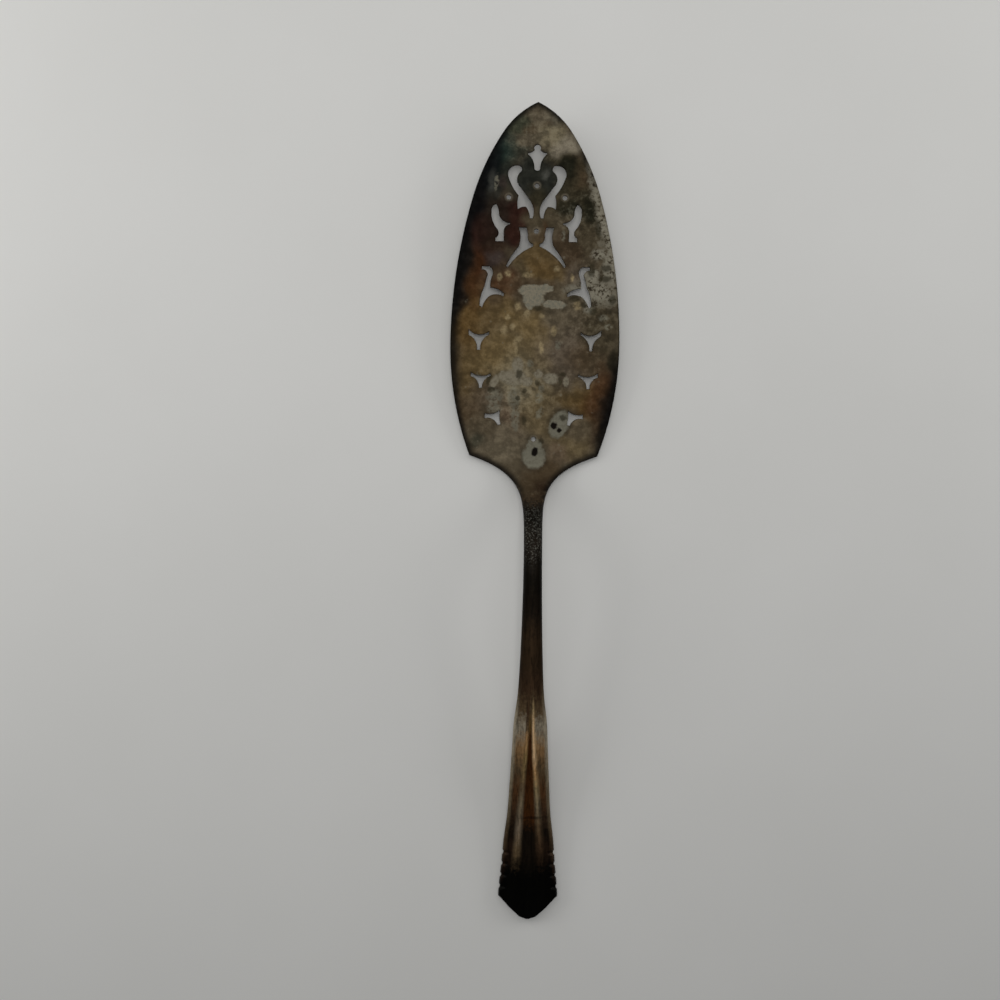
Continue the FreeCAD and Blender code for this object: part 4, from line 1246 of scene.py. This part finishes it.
def handle_colour(n, at, x, y, blotch, grain, across):
    """Colour of the neck, the shank and the fluted handle, with painted highlights on the ribs and
    down the shank's middle, and painted shade on the shank's sides.
    """
    wavy_y = n.math("ADD", y, n.times(n.math("SUBTRACT", grain, 0.5), 9.0))
    valley = n.ramp(wavy_y, VALLEY_STOPS)
    below = n.step(y, -50.0, -60.0)
    # Painted highlight: a light stripe along the inner slope of each rib, coloured by the ribs'
    # stops
    highlight_line = n.step(y, -64.0, -94.0, 0.29, 0.46)
    outside = n.step(n.math("SUBTRACT", across, highlight_line), 0.02, 0.12)
    shaft = n.mix(n.times(outside, below), valley, n.ramp(wavy_y, CHANNEL_STOPS))
    near_highlight = n.step(n.math("ABSOLUTE", n.math("SUBTRACT", across, highlight_line)), 0.23, 0.07)
    right_side = n.step(x, -0.5, 0.5)
    rib = n.mix(right_side, n.ramp(wavy_y, LEFT_RIB_AND_HIGHLIGHT_STOPS), n.ramp(wavy_y, RIGHT_RIB_AND_HIGHLIGHT_STOPS))
    shaft = n.mix(n.times(near_highlight, below), shaft, rib)
    # Painted highlight, brighter still down the middle of the stripe
    highlight_crest = n.step(n.math("ABSOLUTE", n.math("SUBTRACT", across, highlight_line)), 0.11, 0.01)
    shaft = n.scale(n.times(highlight_crest, below, n.step(y, -112.0, -100.0)), shaft, 1.7)
    on_rim = n.times(n.step(across, 0.80, 0.93), below)
    shaft = n.mix(on_rim, shaft, n.ramp(wavy_y, RIM_STOPS))
    streaks_at = n.new("Mapping", at, None, None, (1.6, 0.16, 1.6)).outputs[0]
    streaks = n.noise(streaks_at, 1.0, 4.0, 0.62)
    shaft = n.scale(n.step(streaks, 0.44, 0.66), shaft, 0.56)
    shaft = n.scale(n.times(n.step(blotch, 0.48, 0.68), 0.6), shaft, 0.6)
    # Painted highlight down the middle of the round shank
    crown_highlight = n.times(n.step(across, 0.45, 0.05), n.step(y, -14.0, -30.0), n.step(y, -60.0, -48.0))
    shaft = n.scale(n.times(crown_highlight, n.step(streaks, 0.62, 0.42)), shaft, 1.35)
    # Painted shade on the sides of the lower neck and the round shank
    flank_shade = n.times(n.step(across, 0.55, 0.95), n.step(y, -56.0, -46.0), n.step(y, 8.0, 0.0))
    shaft = n.scale(n.times(flank_shade, 0.8), shaft, 0.55)
    crossed = n.patch(at, 0.5, 1.0, -94.7, 3.4, 0.45, 4)
    shaft = n.scale(n.times(crossed, 0.8), shaft, 0.35)
    worn = n.step(n.noise(at, 1.9, 3.0, 0.7), 0.50, 0.64)
    worn_zone = n.patch(at, 0.4, -0.4, -5.5, 4.0, 8.5)
    grey = tint("pewter", LIGHT_ON_HANDLE)
    return n.mix(n.times(worn, worn_zone, 0.45), shaft, grey), on_rim


def server_material():
    material = bpy.data.materials.new("tarnished_plate")
    n = Nodes(material)
    coords = n.new("TexCoord").outputs
    at = n.vector("SCALE", coords["Object"], None, None, 1 / MM)
    edge, lip, across = n.attribute("form")[:3]
    zone = n.attribute("zone")
    stain = n.attribute("stain")[4]
    x, y, _ = n.new("SeparateXYZ", at).outputs
    upper = n.step(n.new("SeparateXYZ", coords["Normal"]).outputs[2], -0.15, 0.25)

    # Mottling in three grains
    blotch = n.noise(at, 0.42, 4.0, 0.6)
    grain = n.noise(n.vector("ADD", at, (17.0, 5.0, 2.0)), 1.05, 3.0, 0.6)
    fine = n.noise(n.vector("ADD", at, (3.0, 41.0, 9.0)), 3.4, 3.0, 0.7)

    blade, corroded = blade_colour(n, at, blotch, grain, zone, stain)
    shaft, on_rim = handle_colour(n, at, x, y, blotch, grain, across)
    wavy_y = n.math("ADD", y, n.times(n.math("SUBTRACT", blotch, 0.5), 10.0))
    on_handle = n.step(wavy_y, 9.0, 1.0)
    bright_edge = n.math("MAXIMUM", zone[3], n.step(y, 6.0, -2.0))
    # Painted shade in a band along the outline of the blade, left out where the edge is bright
    edge_shade = n.times(n.step(edge, 0.25, 0.88), n.less(bright_edge))
    blade = n.scale(edge_shade, blade, 0.14)
    colour = n.mix(on_handle, blade, shaft)

    # Underside: duller, without the marks that the upper side has
    under = n.mix(n.step(blotch, 0.38, 0.62), tint("olive"), tint("umber"))
    under = n.mix(n.step(n.noise(at, 0.09, 3.0, 0.6), 0.42, 0.62), under, tint("walnut"))
    under = n.mix(n.times(n.step(grain, 0.50, 0.34), 0.5), under, tint("stone"))
    colour = n.mix(upper, under, colour)

    # Painted shade on the rounded rim, on the walls of each opening and just round them, and a
    # slight grain over everything
    rim_shade = n.times(n.step(edge, 0.90, 0.99), n.math("MULTIPLY_ADD", zone[0], -0.5, 0.85))
    rim_shade = n.times(rim_shade, n.less(n.times(on_rim, 0.9)))
    colour = n.scale(rim_shade, colour, 0.35)
    colour = n.scale(n.times(n.step(lip, 0.1, 0.9), 0.5), colour, 0.5)
    colour = n.scale(n.step(fine, 0.40, 0.60), colour, 0.86)

    corroded = n.times(corroded, upper)
    bare = n.less(corroded)
    height = n.math("MULTIPLY_ADD", blotch, 0.5, n.times(grain, 0.35))
    height = n.math("MULTIPLY_ADD", fine, 0.12, height)
    bump = n.new("Bump")
    n.put(bump.inputs["Strength"], 0.5)
    n.put(bump.inputs["Distance"], 0.12 * MM)
    n.put(bump.inputs["Height"], height)

    metallic = n.blend(bare, 0.1, 0.42)
    gloss = n.blend(n.step(blotch, 0.38, 0.62), 0.40, 0.54)
    gloss = n.blend(n.times(n.step(y, -100.0, -112.0), 0.7), gloss, 0.34)
    roughness = n.blend(bare, 0.74, gloss)
    n.surface(
        bump.outputs[0], base_color=colour, metallic=metallic, roughness=roughness, specular=0.08,
    )
    return material


FLOOR_COLOURS = [(0.790, 0.790, 0.770, 1), (0.815, 0.815, 0.797, 1)]


def floor_material():
    material = bpy.data.materials.new("table_top")
    n = Nodes(material)
    cloud = n.noise(n.new("TexCoord").outputs["Object"], 9.0, 4.0, 0.55)
    colour = n.mix(n.step(cloud, 0.3, 0.7), *FLOOR_COLOURS)
    n.surface(base_color=colour, roughness=0.6, specular=0.25)
    return material


# Table, light and camera

# Half the table's side in metres, and how far its top lies under the server
TABLE_REACH = 3.0
TABLE_DROP = 0.02 * MM


def add_floor():
    mesh = bpy.data.meshes.new("table_top")
    corners = [(-1, -1), (1, -1), (1, 1), (-1, 1)]
    corners = [(TABLE_REACH * x, TABLE_REACH * y, 0) for x, y in corners]
    mesh.from_pydata(corners, [], [(0, 1, 2, 3)])
    table = bpy.data.objects.new("table_top", mesh)
    table.location.z = -TABLE_DROP
    bpy.context.scene.collection.objects.link(table)
    mesh.materials.append(floor_material())


# Name, place, aim, size, watts and colour: a window beyond the tip, two low lights that leave a
# soft shadow on both sides of the server, and the room above
LIGHTS = [
    ("window", (-0.05, 0.31, 0.34), (0, 0.04, 0), (0.9, 0.3), 0.70, (1.0, 0.995, 0.985)),
    ("left_side", (-0.42, 0.12, 0.17), (0, 0.03, 0), (0.4, 0.14), 0.52, (1.0, 0.995, 0.98)),
    ("right_side", (0.42, 0.20, 0.17), (0, 0.03, 0), (0.4, 0.14), 0.48, (1.0, 0.995, 0.98)),
    ("room", (0.0, 0.05, 0.56), (0, 0.01, 0), (0.2, 0.2), 0.57, (1.0, 0.99, 0.97)),
]
WORLD_COLOUR, WORLD_STRENGTH = (0.93, 0.94, 0.95, 1), 0.13
BACKDROP_COLOUR = (0.48, 0.48, 0.47, 1)


def add_lights():
    for name, place, target, size, power, colour in LIGHTS:
        light = bpy.data.lights.new(name, "AREA")
        light.shape = "RECTANGLE"
        light.size, light.size_y = size
        light.energy = power
        light.color = colour
        obj = bpy.data.objects.new(name, light)
        obj.location = place
        aim = Vector(target) - Vector(place)
        obj.rotation_euler = aim.to_track_quat("-Z", "Y").to_euler()
        bpy.context.scene.collection.objects.link(obj)


def add_world():
    """Dim light from all round, and a pale backdrop for the camera alone."""
    world = bpy.data.worlds.new("room")
    n = Nodes(world)
    light = n.new("Background", WORLD_COLOUR, WORLD_STRENGTH)
    seen = n.new("Background", BACKDROP_COLOUR)
    to_camera = n.new("LightPath").outputs["Is Camera Ray"]
    both = n.new("MixShader", to_camera, light.outputs[0], seen.outputs[0])
    n.new("OutputWorld", both.outputs[0])
    bpy.context.scene.world = world


# The camera looks straight down; the server lies beside its axis and slightly turned.
CAMERA_HEIGHT = 390.0
FRAME_HALF = 157.6
ASIDE = 10.25
AHEAD = 4.40
TURN = math.radians(0.733)
SENSOR = 36.0


def add_camera():
    camera = bpy.data.cameras.new("camera")
    camera.sensor_width = SENSOR
    camera.lens = SENSOR / 2 * CAMERA_HEIGHT / FRAME_HALF
    camera.clip_start = 0.01
    obj = bpy.data.objects.new("camera", camera)
    x, y = -ASIDE * math.cos(TURN), AHEAD - ASIDE * math.sin(TURN)
    obj.location = (x * MM, y * MM, CAMERA_HEIGHT * MM)
    obj.rotation_euler = (0, 0, TURN)
    bpy.context.scene.collection.objects.link(obj)
    bpy.context.scene.camera = obj


server = build_server()
server.data.materials.append(server_material())
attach(server, "root")
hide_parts("pie_server")
add_floor()
add_lights()
add_world()
add_camera()
bpy.context.scene.view_settings.view_transform = "Standard"
